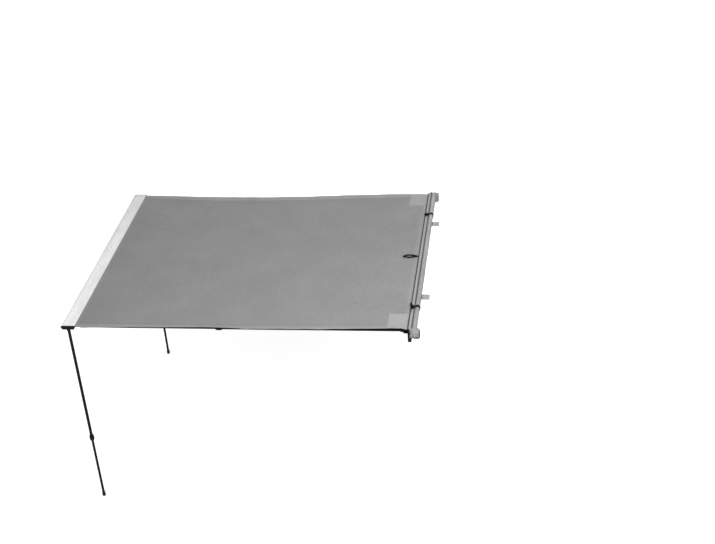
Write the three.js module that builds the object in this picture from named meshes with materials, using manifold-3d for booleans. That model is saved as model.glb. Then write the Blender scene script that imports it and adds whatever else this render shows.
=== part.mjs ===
import * as THREE from 'three';
import { mergeVertices } from 'three/addons/utils/BufferGeometryUtils.js';
import Module from 'manifold-3d';

// Vehicle side awning, pulled out and standing on its two legs.
// Lengths are millimetres and +Z is up. X runs along the rails with the near end at +X,
// and the canopy pulls out toward -Y. The origin is the middle of the flat strip
// between the two bolt slots on the back of the base rail.
// Sections are drawn as [out, up]: out is the distance away from that back face.

const wasm = await Module();
wasm.setup();

// Whole awning
const railLength = 2000;
const pullOut = 2511;
const standHeight = 1600;
const fitGap = 0.3;
const looseGap = 0.5;

// Base rail section
const baseDepth = 24;
const baseTop = 69;
const baseBottom = -37;
const baseWall = 2.5;
const baseChamfer = 1.5;
const slotRise = 20;
const slotMouth = 9;
const slotLip = 2.5;
const slotWidth = 18;
const slotDepth = 7;
const capThickness = 5;
const plugLength = 12;

// Round slots in both rails and the cord beads that sit in them
const cordSlotRadius = 3.6;
const cordSlotMouth = 3;
const cordSlotInset = 5;
const beadRadius = 3.1;
const canopyBelowTop = 6;
const bagSlotBelowTop = 8;
const canopyLevel = baseTop - canopyBelowTop;
const bagSlotLevel = baseTop - bagSlotBelowTop;

// L brackets that stand on a roof rack
const bracketInset = 460;
const bracketAt = railLength / 2 - bracketInset;
const bracketWidth = 60;
const bracketPlate = 5;
const bracketFoot = 95;
const bracketFootTop = 41;
const bracketBottom = -33;
const bracketHoleRadius = 4.3;
const footSlotStart = 58;
const footSlotLength = 28;
const footSlotSpread = 15;

// T-bolts and their nuts
const boltRadius = 4;
const boltHeadHeight = 4.5;
const boltHeadLength = 12;
const boltHeadWidth = 17;
const nutRadius = 7.5;
const nutHeight = 7;
const boltTail = 3.5;

// Canopy sheet
const canopyThickness = 1.2;
const canopyEndGap = 3;
const sagFar = 26;
const sagNear = 10;
const sagSkew = 1.4;
const canopySteps = 20;
const canopyStations = 12;
const patchOut = 140;
const patchAlong = 195;
const patchThickness = 0.8;
const patchInset = 4;
const patchSteps = 4;

// Rolled bag cover behind the base rail
const coverThickness = 1.8;
const coverEndGap = 6;
const coverHalfLength = railLength / 2 - coverEndGap;
const rollHalfWidth = 16;
const rollHalfHeight = 18;
const rollFront = 9;
const rollPitch = 2.4;
const rollTurns = 5.25;
const rollStepsPerTurn = 28;
const flapDrop = 92;
const flapThickness = 1.6;
const flapFold = 4;
const flapFolds = 2.5;
const flapClear = 3.5;
const flapBeyondRoll = 22;
const flapSteps = 24;
const flapAboveCanopy = 16;

// Straps round the roll and the loop on the canopy
const strapNearInset = 280;
const strapFarInset = 360;
const strapNearAt = railLength / 2 - strapNearInset;
const strapFarAt = strapFarInset - railLength / 2;
const strapWidth = 25;
const strapThickness = 1.5;
const strapGap = 0.7;
const strapSteps = 36;
const strapOpenShare = 0.07;
const strapAnchorInset = 1.5;
const buckleWidth = 33;
const buckleHeight = 5;
const buckleBar = 3.5;
const buckleInset = 3;
const buckleBackInset = 1;
const loopWebbing = 12;
const loopAt = 14;
const loopLength = 100;
const loopHalfWidth = 24;
const loopStart = 27;
const loopTaperPower = 0.6;
const loopSteps = 28;
const loopBuckleGap = 0.6;
const loopBuckleWidth = 18;
const loopBuckleLength = 13;
const loopBuckleHeight = 8;

// Lead rail section, measured across from the middle of its leg channel. The brow is how much
// further the front reaches than the back.
const leadWidth = 96;
const leadBrow = 11;
const leadDepth = 30;
const leadWall = 2.2;
const leadTopWall = 3;
const leadBottomHalf = 37.5;
const leadShoulder = 10;
const leadNose = 6.5;
const leadSlopeDrop = 4.5;
const leadSlopeStart = 45;
const leadGrooveAt = 40;
const leadGrooveWidth = 3.4;
const leadGrooveDepth = 1.4;
const leadEdge = 1.2;
const leadCordBlock = 12;
const leadInner = pullOut - leadBrow - leadWidth;
const leadMiddle = leadInner + leadWidth / 2;
const leadBottom = canopyLevel - leadDepth;

// Tube stock and twist-lock collars shared by the legs and the arms
const outerRadius = 11;
const innerRadius = 9.5;
const tubeWall = 1.2;
const collarRadius = 18;
const collarLength = 48;
const collarRingLength = 8;
const collarRingRadius = 15.5;
const collarNoseLength = 12;
const collarNoseRadius = 12.5;
const collarSeat = 8.5;
const flutes = 9;
const fluteRadius = 4;
const fluteCutShare = 0.55;
const bushLength = 15;
const bushPlug = 12;
const roundSegments = 20;
const pinSegments = 12;
const fluteSegments = 6;

// Knuckles with a cross pin
const knuckleReach = 32;
const knuckleHalf = 12;
const knucklePlug = 28;
const pinRadius = 4;
const pinHoleRadius = 4.3;
const pinHeadRadius = 6.5;
const pinHeadHeight = 3;
const earThickness = 4;
const earGap = 0.3;

// Arms
const armInset = 88;
const armAt = railLength / 2 - armInset;
const armPivotOut = 50;
const nearArmBelow = 61;
const farArmBelow = 101;
const armCollarAt = 1330;
const armInnerStart = 1130;
const catchInset = 11;
const catchOut = leadInner - catchInset;
const armBracketWidth = 44;
const armBracketTall = 22;
const armEarReach = 14;
const tipLength = 54;
const tipRadius = 11;
const socketRadius = 9;
const socketHole = 4.6;
const socketHoleDepth = 14;
const tipBeyondSocket = 11;
const catchWidth = 28;
const catchTop = 10;
const catchBodyDepth = 19;
const catchReach = 20;
const postRadius = 7;
const catchPinLength = 12.5;
const pinClearOfArm = 0.5;

// Legs
const legInset = 30;
const legAt = railLength / 2 - legInset;
const legApart = 32;
const legPivotBelow = 22;
const legCollarAt = 1010;
const legInnerStart = 574;
const legBracketWidth = 30;
const legCheek = 2;
const legBracketTop = 2;
const legCheekBottom = 30;
const footLength = 35;
const footRadius = 12.5;
const footCup = 28;
const legLength = standHeight - legPivotBelow;
const nearLegOut = leadMiddle + legApart / 2;
const farLegOut = leadMiddle - legApart / 2;

const colours = {
  railSilver: [0xdcdcdc, 0.38, 0.6],
  black: [0x161616, 0.55, 0],
  blackMetal: [0x1b1b1b, 0.45, 0.3],
  steel: [0xb4b4b4, 0.35, 0.9],
  canopy: [0x8f8f8f, 0.9, 0],
  patch: [0xaaaaaa, 0.85, 0],
  cover: [0xb9bcc0, 0.45, 0],
  webbing: [0x1a1a1a, 0.85, 0],
  rubber: [0x121212, 0.8, 0],
};

const group = new THREE.Group();

function add(name, geometry, colour) {
  const [hex, roughness, metalness] = colours[colour];
  const material = new THREE.MeshStandardMaterial({ color: hex, roughness, metalness });
  const mesh = new THREE.Mesh(geometry, material);
  mesh.name = name;
  group.add(mesh);
}

// A welded mesh of positions only, turned outward.
function welded(geometry) {
  geometry.deleteAttribute('normal');
  geometry.deleteAttribute('uv');
  const mesh = mergeVertices(geometry);
  if (volume(mesh) < 0) {
    const index = mesh.index.array;
    for (let i = 0; i < index.length; i += 3) {
      [index[i], index[i + 1]] = [index[i + 1], index[i]];
    }
  }
  mesh.computeVertexNormals();
  return mesh;
}

function volume(mesh) {
  const a = new THREE.Vector3();
  const b = new THREE.Vector3();
  const c = new THREE.Vector3();
  const index = mesh.index.array;
  let sum = 0;
  for (let i = 0; i < index.length; i += 3) {
    a.fromBufferAttribute(mesh.attributes.position, index[i]);
    b.fromBufferAttribute(mesh.attributes.position, index[i + 1]);
    c.fromBufferAttribute(mesh.attributes.position, index[i + 2]);
    sum += a.dot(b.cross(c));
  }
  return sum;
}

function toSolid(geometry) {
  const mesh = welded(geometry);
  return new wasm.Manifold(new wasm.Mesh({
    numProp: 3,
    vertProperties: new Float32Array(mesh.attributes.position.array),
    triVerts: new Uint32Array(mesh.index.array),
  }));
}

function toGeometry(solid) {
  const mesh = solid.getMesh();
  const positions = new Float32Array(mesh.numVert * 3);
  for (let i = 0; i < mesh.numVert; i += 1) {
    for (let k = 0; k < 3; k += 1) {
      positions[i * 3 + k] = mesh.vertProperties[i * mesh.numProp + k];
    }
  }
  const geometry = new THREE.BufferGeometry();
  geometry.setAttribute('position', new THREE.BufferAttribute(positions, 3));
  geometry.setIndex(Array.from(mesh.triVerts));
  return welded(geometry);
}

function join(...geometries) {
  return toGeometry(geometries.map(toSolid).reduce((sum, next) => sum.add(next)));
}

function cut(body, ...tools) {
  return toGeometry(tools.map(toSolid).reduce((rest, tool) => rest.subtract(tool), toSolid(body)));
}

function common(first, second) {
  return toGeometry(toSolid(first).intersect(toSolid(second)));
}

function outline(points) {
  return new THREE.Shape(points.map(([a, b]) => new THREE.Vector2(a, b)));
}

function arc(centre, radius, from, to, steps) {
  return Array.from({ length: steps + 1 }, (_, i) => {
    const angle = from + (to - from) * i / steps;
    return [centre[0] + radius * Math.cos(angle), centre[1] + radius * Math.sin(angle)];
  });
}

function disc(centre, radius, sides = pinSegments) {
  return outline(arc(centre, radius, 0, 2 * Math.PI, sides).slice(0, -1));
}

function extruded(shape, depth) {
  return new THREE.ExtrudeGeometry(shape, { depth, bevelEnabled: false, curveSegments: 1 });
}

function placed(geometry, xAxis, yAxis, zAxis, at) {
  const basis = new THREE.Matrix4().makeBasis(
    new THREE.Vector3(...xAxis), new THREE.Vector3(...yAxis), new THREE.Vector3(...zAxis));
  geometry.applyMatrix4(basis.setPosition(...at));
  return geometry;
}

// An [out, up] section drawn out along the rails from x = low to x = high.
function alongRail(shape, low, high) {
  return placed(extruded(shape, high - low), [0, -1, 0], [0, 0, 1], [-1, 0, 0], [high, 0, 0]);
}

// An [x, out] plan drawn upward from low to high.
function upward(shape, low, high) {
  return placed(extruded(shape, high - low), [1, 0, 0], [0, -1, 0], [0, 0, -1], [0, 0, high]);
}

// An [x, up] view drawn outward from low to high.
function outward(shape, low, high) {
  return placed(extruded(shape, high - low), [1, 0, 0], [0, 0, 1], [0, -1, 0], [0, -low, 0]);
}

function rectangle(left, right, bottom, top) {
  return outline([[left, bottom], [right, bottom], [right, top], [left, top]]);
}

// A [radius, height] profile turned about local Z.
function turned(profile, sides = roundSegments) {
  const points = profile.map(([r, h]) => new THREE.Vector2(r, h));
  return placed(new THREE.LatheGeometry(points, sides),
    [0, 1, 0], [0, 0, 1], [1, 0, 0], [0, 0, 0]);
}

function ring(inner, outer, low, high) {
  return turned([[inner, low], [outer, low], [outer, high], [inner, high], [inner, low]]);
}

function rod(radius, low, high, sides = roundSegments) {
  return turned([[0, low], [radius, low], [radius, high], [0, high]], sides);
}

// Points of a bolt slot met while going up the back face.
function boltSlot(level) {
  const mouth = slotMouth / 2;
  const half = slotWidth / 2;
  const floor = slotLip + slotDepth;
  return [
    [0, level - mouth], [slotLip, level - mouth], [slotLip, level - half],
    [floor, level - half], [floor, level + half], [slotLip, level + half],
    [slotLip, level + mouth], [0, level + mouth],
  ];
}

// Points of a round slot; side is +1 where the face looks outward, -1 inward.
function cordSlot(face, level, side) {
  const neck = Math.asin(cordSlotMouth / 2 / cordSlotRadius);
  const centre = [face - side * cordSlotInset, level];
  const start = side > 0 ? neck : Math.PI + neck;
  const round = arc(centre, cordSlotRadius, start, start + 2 * (Math.PI - neck), 12);
  const first = [face, round[0][1]];
  const last = [face, round[round.length - 1][1]];
  return [first, ...round, last];
}

function baseRail() {
  const c = baseChamfer;
  const shape = outline([
    [0, baseBottom + c], ...boltSlot(-slotRise), ...boltSlot(slotRise),
    ...cordSlot(0, bagSlotLevel, -1), [0, baseTop - c],
    [c, baseTop], [baseDepth - c, baseTop], [baseDepth, baseTop - c],
    ...cordSlot(baseDepth, canopyLevel, 1), [baseDepth, baseBottom + c],
    [baseDepth - c, baseBottom], [c, baseBottom],
  ]);
  shape.holes = baseChambers().map((box) => new THREE.Path(rectangle(...box).getPoints()));
  return alongRail(shape, -railLength / 2, railLength / 2);
}

function baseChambers() {
  const left = slotLip + slotDepth + baseWall;
  const right = baseDepth - baseWall;
  const slotEdge = slotRise + slotWidth / 2;
  const chamberTop = bagSlotLevel - cordSlotRadius - baseWall;
  return [
    [left, right, baseWall / 2, chamberTop],
    [left, right, baseBottom + baseWall, -baseWall / 2],
    [baseWall, left - baseWall, -slotEdge + slotWidth + baseWall, slotEdge - slotWidth - baseWall],
    [baseWall, left - baseWall, slotEdge + baseWall, chamberTop],
  ];
}

function baseCap() {
  const c = baseChamfer;
  const face = outline([
    [0, baseBottom + c], [0, baseTop - c], [c, baseTop], [baseDepth - c, baseTop],
    [baseDepth, baseTop - c], [baseDepth, baseBottom + c], [baseDepth - c, baseBottom],
    [c, baseBottom],
  ]);
  const start = railLength / 2 + fitGap;
  const plate = alongRail(face, start, start + capThickness);
  const plugs = baseChambers().slice(0, 2).map(([left, right, bottom, top]) => alongRail(
    rectangle(left + looseGap, right - looseGap, bottom + looseGap, top - looseGap),
    start - plugLength, start + capThickness / 2));
  return join(plate, ...plugs);
}

// The same piece for the far end.
function mirrored(geometry) {
  geometry.scale(-1, 1, 1);
  return welded(geometry);
}

function longHole(centreX, start, length, radius) {
  const left = [centreX, start + radius];
  const right = [centreX, start + length - radius];
  return outline([
    ...arc(left, radius, Math.PI, 2 * Math.PI, roundSegments / 2),
    ...arc(right, radius, 0, Math.PI, roundSegments / 2),
  ]);
}

function mountingBracket() {
  const face = -fitGap;
  const back = face - bracketPlate;
  const under = bracketFootTop - bracketPlate;
  const bend = outline([
    [face, bracketBottom], [face, bracketFootTop], [-bracketFoot, bracketFootTop],
    [-bracketFoot, under], [back, under], [back, bracketBottom],
  ]);
  const plate = alongRail(bend, bracketAt - bracketWidth / 2, bracketAt + bracketWidth / 2);
  const holes = [-slotRise, slotRise].map((level) => outward(
    disc([bracketAt, level], bracketHoleRadius), back - fitGap, 0));
  const slots = [-footSlotSpread, footSlotSpread].map((shift) => upward(
    longHole(bracketAt + shift, -footSlotStart - footSlotLength, footSlotLength, bracketHoleRadius),
    under - fitGap, bracketFootTop + fitGap));
  return cut(plate, ...holes, ...slots);
}

function bracketBolt(level) {
  const headBack = slotLip + fitGap;
  const nutFace = -fitGap - bracketPlate - fitGap;
  const halfLength = boltHeadLength / 2;
  const halfWidth = boltHeadWidth / 2;
  const head = outward(rectangle(bracketAt - halfLength, bracketAt + halfLength,
    level - halfWidth, level + halfWidth), headBack, headBack + boltHeadHeight);
  const shank = outward(disc([bracketAt, level], boltRadius),
    nutFace - nutHeight - boltTail, headBack + boltHeadHeight / 2);
  const hexagon = outline(arc([bracketAt, level], nutRadius, 0, 2 * Math.PI, 6).slice(0, -1));
  const nut = outward(hexagon, nutFace - nutHeight, nutFace);
  return join(head, shank, nut);
}

function sag(x, out) {
  const start = baseDepth;
  const share = Math.min(Math.max((out - start) / (leadInner - start), 0), 1);
  const nearness = (x / railLength + 0.5) ** 2;
  const depth = sagFar - (sagFar - sagNear) * nearness;
  return -depth * Math.sin(Math.PI * share ** sagSkew);
}

// A closed [out, up] outline carried through stations along X and lowered by the sag.
function hangingSheet(points, stations) {
  const count = points.length;
  const positions = [];
  stations.forEach((x) => points.forEach(([out, up]) => {
    positions.push(x, -out, up + sag(x, out));
  }));
  const faces = [];
  for (let j = 0; j < stations.length - 1; j += 1) {
    for (let i = 0; i < count; i += 1) {
      const a = j * count + i;
      const b = j * count + (i + 1) % count;
      faces.push(a, b, b + count, a, b + count, a + count);
    }
  }
  const flat = points.map(([a, b]) => new THREE.Vector2(a, b));
  const last = (stations.length - 1) * count;
  THREE.ShapeUtils.triangulateShape(flat, []).forEach(([a, b, c]) => {
    const turn = THREE.ShapeUtils.isClockWise(flat) ? [a, b, c] : [c, b, a];
    faces.push(...turn, ...turn.map((k) => k + last).reverse());
  });
  const geometry = new THREE.BufferGeometry();
  geometry.setAttribute('position', new THREE.Float32BufferAttribute(positions, 3));
  geometry.setIndex(faces);
  return welded(geometry);
}

function spread(low, high, steps) {
  return Array.from({ length: steps + 1 }, (_, i) => low + (high - low) * i / steps);
}

// The round bead at one end of a sheet; facing is the angle from the bead to the sheet.
function bead(centre, facing, halfThickness) {
  const neck = Math.asin(halfThickness / beadRadius);
  return arc(centre, beadRadius, facing + neck, facing + 2 * Math.PI - neck, 10);
}

function canopy() {
  const half = canopyThickness / 2;
  const baseBead = bead([baseDepth - cordSlotInset, canopyLevel], 0, half);
  const leadBead = bead([leadInner + cordSlotInset, leadCordLevel()], Math.PI, half);
  const outs = spread(baseDepth, leadInner, canopySteps);
  const under = outs.map((out) => [out, canopyLine(out) - half]);
  const over = outs.map((out) => [out, canopyLine(out) + half]).reverse();
  const edge = railLength / 2 - canopyEndGap;
  return hangingSheet([...baseBead, ...under, ...leadBead, ...over],
    spread(-edge, edge, canopyStations));
}

function leadCordLevel() {
  return canopyLevel - canopyBelowTop;
}

// The straight line between the two cord slots that the sag hangs from.
function canopyLine(out) {
  const share = (out - baseDepth) / (leadInner - baseDepth);
  return canopyLevel + (leadCordLevel() - canopyLevel) * share;
}

function cornerPatch(side) {
  const lift = canopyThickness / 2 + fitGap;
  const start = baseDepth + patchInset;
  const outs = spread(start, start + patchOut, patchSteps);
  const under = outs.map((out) => [out, canopyLine(out) + lift]);
  const over = outs.map((out) => [out, canopyLine(out) + lift + patchThickness]).reverse();
  const edge = railLength / 2 - canopyEndGap - patchInset;
  const stations = side > 0
    ? spread(edge - patchAlong, edge, patchSteps)
    : spread(-edge, -edge + patchAlong, patchSteps);
  return hangingSheet([...under, ...over], stations);
}

// A closed outline of even thickness along a line of points.
function ribbon(points, thickness) {
  const half = thickness / 2;
  const sides = points.map((point, i) => {
    const before = points[Math.max(i - 1, 0)];
    const after = points[Math.min(i + 1, points.length - 1)];
    const dx = after[0] - before[0];
    const dy = after[1] - before[1];
    const size = Math.hypot(dx, dy);
    const normal = [-dy / size * half, dx / size * half];
    return [[point[0] + normal[0], point[1] + normal[1]],
      [point[0] - normal[0], point[1] - normal[1]]];
  });
  return [...sides.map(([left]) => left), ...sides.map(([, right]) => right).reverse()];
}

function rollMiddle() {
  return [-rollFront - rollHalfWidth,
    bracketFootTop + fitGap + coverThickness / 2 + rollHalfHeight];
}

// A point of the roll's [out, up] outline, shrunk by inset and turned by angle from its front.
function rollPoint(angle, inset) {
  const [out, up] = rollMiddle();
  return [out + (rollHalfWidth - inset) * Math.cos(angle),
    up + (rollHalfHeight - inset) * Math.sin(angle)];
}

// The angle at which a straight line from a point in front first touches that outline.
function touchAngle([out, up], inset) {
  const [middleOut, middleUp] = rollMiddle();
  const across = (out - middleOut) / (rollHalfWidth - inset);
  const above = (up - middleUp) / (rollHalfHeight - inset);
  return Math.atan2(above, across) + Math.acos(1 / Math.hypot(across, above));
}

function bagCover() {
  const beadAt = [cordSlotInset, bagSlotLevel];
  const steps = Math.round(rollTurns * rollStepsPerTurn);
  const spiral = spread(0, rollTurns, steps).map((turn) => rollPoint(
    2 * Math.PI * turn, rollPitch * turn));
  const half = coverThickness / 2;
  const sheet = ribbon([[0, bagSlotLevel], ...spiral], coverThickness);
  const round = bead(beadAt, Math.PI, half).reverse();
  const section = outline([...sheet, ...round]);
  return alongRail(section, -coverHalfLength, coverHalfLength);
}

// The bag's end panel hangs in folds past the roll, close behind the rail.
function endFlap() {
  const middle = coverHalfLength + fitGap + flapThickness / 2 + flapFold;
  const width = rollFront + 2 * rollHalfWidth + flapBeyondRoll - flapClear;
  const path = spread(0, 1, flapSteps).map((share) => [
    middle + flapFold * Math.sin(2 * Math.PI * flapFolds * share), -flapClear - width * share]);
  const top = canopyLevel + flapAboveCanopy;
  return upward(outline(ribbon(path, flapThickness)), top - flapDrop, top);
}

// A band held on the rail's top that runs back over the roll, round it and up in front again.
function rollStrap(at) {
  const away = -(coverThickness / 2 + strapGap + strapThickness / 2);
  const level = baseTop + fitGap + strapThickness / 2;
  const bend = [0, level];
  const round = spread(touchAngle(bend, away) / (2 * Math.PI), 1 - strapOpenShare, strapSteps)
    .map((turn) => rollPoint(2 * Math.PI * turn, away));
  const path = [[baseDepth - strapAnchorInset, level], bend, ...round];
  return alongRail(outline(ribbon(path, strapThickness)), at - strapWidth / 2, at + strapWidth / 2);
}

// A flat frame of three bars on the rail's top, with the strap's two openings between them.
function ladderBuckle(at) {
  const front = baseDepth - buckleInset;
  const half = (front - buckleBackInset) / 2;
  const out = front - half;
  const wide = buckleWidth / 2;
  const floor = baseTop + fitGap + strapThickness + fitGap;
  const frame = upward(rectangle(at - wide, at + wide, out - half, out + half),
    floor, floor + buckleHeight);
  const slot = (half - buckleBar * 1.5) / 2;
  const centre = slot + buckleBar / 2;
  const holes = [-centre, centre].map((shift) => upward(rectangle(
    at - wide + buckleBar, at + wide - buckleBar, out + shift - slot, out + shift + slot),
  floor - fitGap, floor + buckleHeight + fitGap));
  return cut(frame, ...holes);
}

function storageLoop() {
  const path = spread(0, 1, loopSteps).map((share) => {
    const angle = 2 * Math.PI * share;
    const reach = (1 - Math.cos(angle)) / 2;
    return [loopAt + loopHalfWidth * Math.sin(angle) * reach ** loopTaperPower
      + (share - 0.5) * strapThickness * 3, loopStart + loopLength * reach];
  });
  const floor = canopyLevel + canopyThickness / 2 + fitGap;
  return upward(outline(ribbon(path, strapThickness)), floor, floor + loopWebbing);
}

function loopBuckle() {
  const far = loopStart + loopLength + strapThickness / 2 + loopBuckleGap;
  const floor = canopyLevel + canopyThickness / 2 + fitGap;
  const half = loopBuckleWidth / 2;
  return upward(rectangle(loopAt - half, loopAt + half, far, far + loopBuckleLength),
    floor, floor + loopBuckleHeight);
}

// Lead rail section points given as [across, depth below the canopy level].
function leadPoint([across, depth]) {
  return [leadMiddle + across, canopyLevel - depth];
}

function leadRail() {
  const half = leadWidth / 2;
  const grooveIn = leadGrooveAt - leadGrooveWidth / 2;
  const grooveOut = leadGrooveAt + leadGrooveWidth / 2;
  const front = half + leadBrow;
  const frontBottom = leadBottomHalf + leadBrow;
  const insideFront = front - leadWall;
  const slot = cordSlot(leadInner, leadCordLevel(), -1);
  const outside = [
    [-leadBottomHalf, leadDepth], [-half, leadCordBlock],
  ].map(leadPoint);
  const top = [
    [-half, leadEdge], [-half + leadEdge, 0], [grooveIn, 0],
    [grooveIn + leadEdge / 2, leadGrooveDepth], [grooveOut - leadEdge / 2, leadGrooveDepth],
    [grooveOut, 0], [leadSlopeStart, 0], [front - leadEdge, leadSlopeDrop],
    [front, leadNose], [front, leadShoulder], [frontBottom, leadDepth],
    [frontBottom - leadWall, leadDepth], [insideFront, leadShoulder],
    [insideFront, leadNose + leadEdge],
    [leadSlopeStart, leadTopWall], [-half + leadCordBlock, leadTopWall],
    [-half + leadCordBlock, leadCordBlock], [-half + 2 * leadWall, leadCordBlock],
    [leadWall - leadBottomHalf, leadDepth],
  ].map(leadPoint);
  return alongRail(outline([...outside, ...slot, ...top]), -railLength / 2, railLength / 2);
}

function leadCap() {
  const half = leadWidth / 2;
  const front = half + leadBrow;
  const face = outline([
    [-leadBottomHalf, leadDepth], [-half, leadShoulder], [-half, leadEdge], [-half + leadEdge, 0],
    [leadSlopeStart, 0], [front - leadEdge, leadSlopeDrop], [front, leadNose],
    [front, leadShoulder], [leadBottomHalf + leadBrow, leadDepth],
  ].map(leadPoint));
  const start = railLength / 2 + fitGap;
  const plate = alongRail(face, start, start + capThickness);
  const inset = leadWall + looseGap;
  const plugHalf = leadBottomHalf - inset;
  const plugFront = plugHalf + leadBrow;
  const plug = outline([
    [-plugHalf, leadDepth], [-plugHalf, leadCordBlock + looseGap],
    [-plugHalf + leadWall, leadCordBlock + looseGap], [-plugHalf + leadWall, leadTopWall + looseGap],
    [plugFront - leadWall, leadTopWall + looseGap], [plugFront, leadShoulder],
    [plugFront, leadDepth],
  ].map(leadPoint));
  return join(plate, alongRail(plug, start - plugLength / 2, start + capThickness / 2));
}

// Out-facing side of the lead rail's inner wall at a depth below the canopy level.
function innerWallOut(depth) {
  const share = (depth - leadCordBlock) / (leadDepth - leadCordBlock);
  return leadInner + Math.max(share, 0) * (leadWidth / 2 - leadBottomHalf);
}

// The catch on the lead rail whose pin meets the arm's socket.
function armCatch(armBelow) {
  const bottom = catchTop + catchBodyDepth;
  const section = outline([
    [catchOut - catchReach / 2, canopyLevel - catchTop],
    [innerWallOut(catchTop) - fitGap, canopyLevel - catchTop],
    [innerWallOut(leadCordBlock) - fitGap, canopyLevel - leadCordBlock],
    [innerWallOut(bottom) - fitGap, canopyLevel - bottom],
    [catchOut - catchReach / 2, canopyLevel - bottom],
  ]);
  const block = alongRail(section, armAt - catchWidth / 2, armAt + catchWidth / 2);
  const pinEnd = canopyLevel - armBelow + collarRadius + pinClearOfArm;
  const place = (part) => part.translate(armAt, -catchOut, 0);
  const pin = place(rod(pinRadius, pinEnd, canopyLevel - bottom + fitGap, pinSegments));
  if (armBelow === nearArmBelow) {
    return join(block, pin);
  }
  const post = place(rod(postRadius, pinEnd + catchPinLength, canopyLevel - bottom + fitGap,
    pinSegments));
  return join(block, pin, post);
}

function armBracket(armBelow) {
  const centre = canopyLevel - armBelow;
  const plate = baseDepth + fitGap;
  const inside = knuckleHalf + earGap;
  const outside = inside + earThickness;
  const reach = armPivotOut + armEarReach;
  const section = outline([
    [plate, centre - outside], [reach, centre - outside], [reach, centre - inside],
    [plate + earThickness, centre - inside], [plate + earThickness, centre + inside],
    [reach, centre + inside], [reach, centre + outside],
    [plate + earThickness, centre + outside], [plate + earThickness, centre + outside + armBracketTall],
    [plate, centre + outside + armBracketTall],
  ]);
  const half = armBracketWidth / 2;
  const body = alongRail(section, armAt - half, armAt + half);
  const corner = armEarReach;
  const plan = outline([
    [armAt - half, -plate], [armAt + half, -plate], [armAt + half, -armPivotOut],
    ...arc([armAt + half - corner, -armPivotOut], corner, 0, -Math.PI / 2, 6),
    ...arc([armAt - half + corner, -armPivotOut], corner, -Math.PI / 2, -Math.PI, 6),
  ].map(([x, y]) => [x, -y]));
  const rounded = common(body, upward(plan.clone(), centre - outside - fitGap,
    centre + outside + armBracketTall + fitGap));
  const hole = rod(pinHoleRadius, centre - outside - fitGap, centre + outside + fitGap,
    pinSegments);
  return cut(rounded, hole.translate(armAt, -armPivotOut, 0));
}

// A headed pin with a retaining collar at its far end, along local Z about the middle.
function crossPin(gripHalf) {
  const face = gripHalf + fitGap;
  return turned([
    [0, -face - pinHeadHeight], [pinHeadRadius - pinHeadHeight / 4, -face - pinHeadHeight],
    [pinHeadRadius, -face - pinHeadHeight / 2], [pinHeadRadius, -face], [pinRadius, -face],
    [pinRadius, face], [pinHeadRadius, face], [pinHeadRadius, face + pinHeadHeight / 2],
    [pinHeadRadius - pinHeadHeight / 4, face + pinHeadHeight], [0, face + pinHeadHeight],
  ], pinSegments);
}

function armPin(armBelow) {
  const grip = knuckleHalf + earGap + earThickness;
  return crossPin(grip).translate(armAt, -armPivotOut, canopyLevel - armBelow);
}

function legPin(out) {
  const grip = knuckleHalf + looseGap + legCheek;
  return placed(crossPin(grip), [1, 0, 0], [0, 0, 1], [0, -1, 0],
    [legAt, -out, canopyLevel - legPivotBelow]);
}

function legBracket(out) {
  const top = leadTopWall + fitGap;
  const inside = knuckleHalf + looseGap;
  const outside = inside + legCheek;
  const level = (depth) => canopyLevel - depth;
  const section = outline([
    [out - outside, level(legCheekBottom)], [out - outside, level(top)],
    [out + outside, level(top)], [out + outside, level(legCheekBottom)],
    [out + inside, level(legCheekBottom)], [out + inside, level(top + legBracketTop)],
    [out - inside, level(top + legBracketTop)], [out - inside, level(legCheekBottom)],
  ]);
  const half = legBracketWidth / 2;
  const body = alongRail(section, legAt - half, legAt + half);
  const hole = outward(disc([legAt, level(legPivotBelow)], pinHoleRadius),
    out - outside - fitGap, out + outside + fitGap);
  return cut(body, hole);
}

// Pieces of a telescoping pole along local +Z from its pivot, which lies along local X.
function knuckle() {
  const end = knuckleReach;
  const rounded = [
    ...arc([0, 0], outerRadius, Math.PI, 2 * Math.PI, roundSegments / 2),
    [outerRadius, end], [-outerRadius, end],
  ];
  const block = placed(extruded(outline(rounded), 2 * knuckleHalf),
    [0, 1, 0], [0, 0, 1], [1, 0, 0], [-knuckleHalf, 0, 0]);
  const plug = rod(outerRadius - tubeWall - fitGap, end - fitGap, end + knucklePlug);
  const hole = placed(rod(pinHoleRadius, -knuckleHalf - fitGap, knuckleHalf + fitGap, pinSegments),
    [0, 1, 0], [0, 0, 1], [1, 0, 0], [0, 0, 0]);
  return cut(join(block, plug), hole);
}

function outerTube(collarAt) {
  return ring(outerRadius - tubeWall, outerRadius, knuckleReach + fitGap, collarAt + collarSeat);
}

function innerTube(start, end) {
  return ring(innerRadius - tubeWall, innerRadius, start, end);
}

function slideBush(start) {
  const head = rod(outerRadius - tubeWall - fitGap, start - bushLength, start - fitGap);
  const plug = rod(innerRadius - tubeWall - fitGap, start - bushLength / 2, start + bushPlug);
  return join(head, plug);
}

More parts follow.
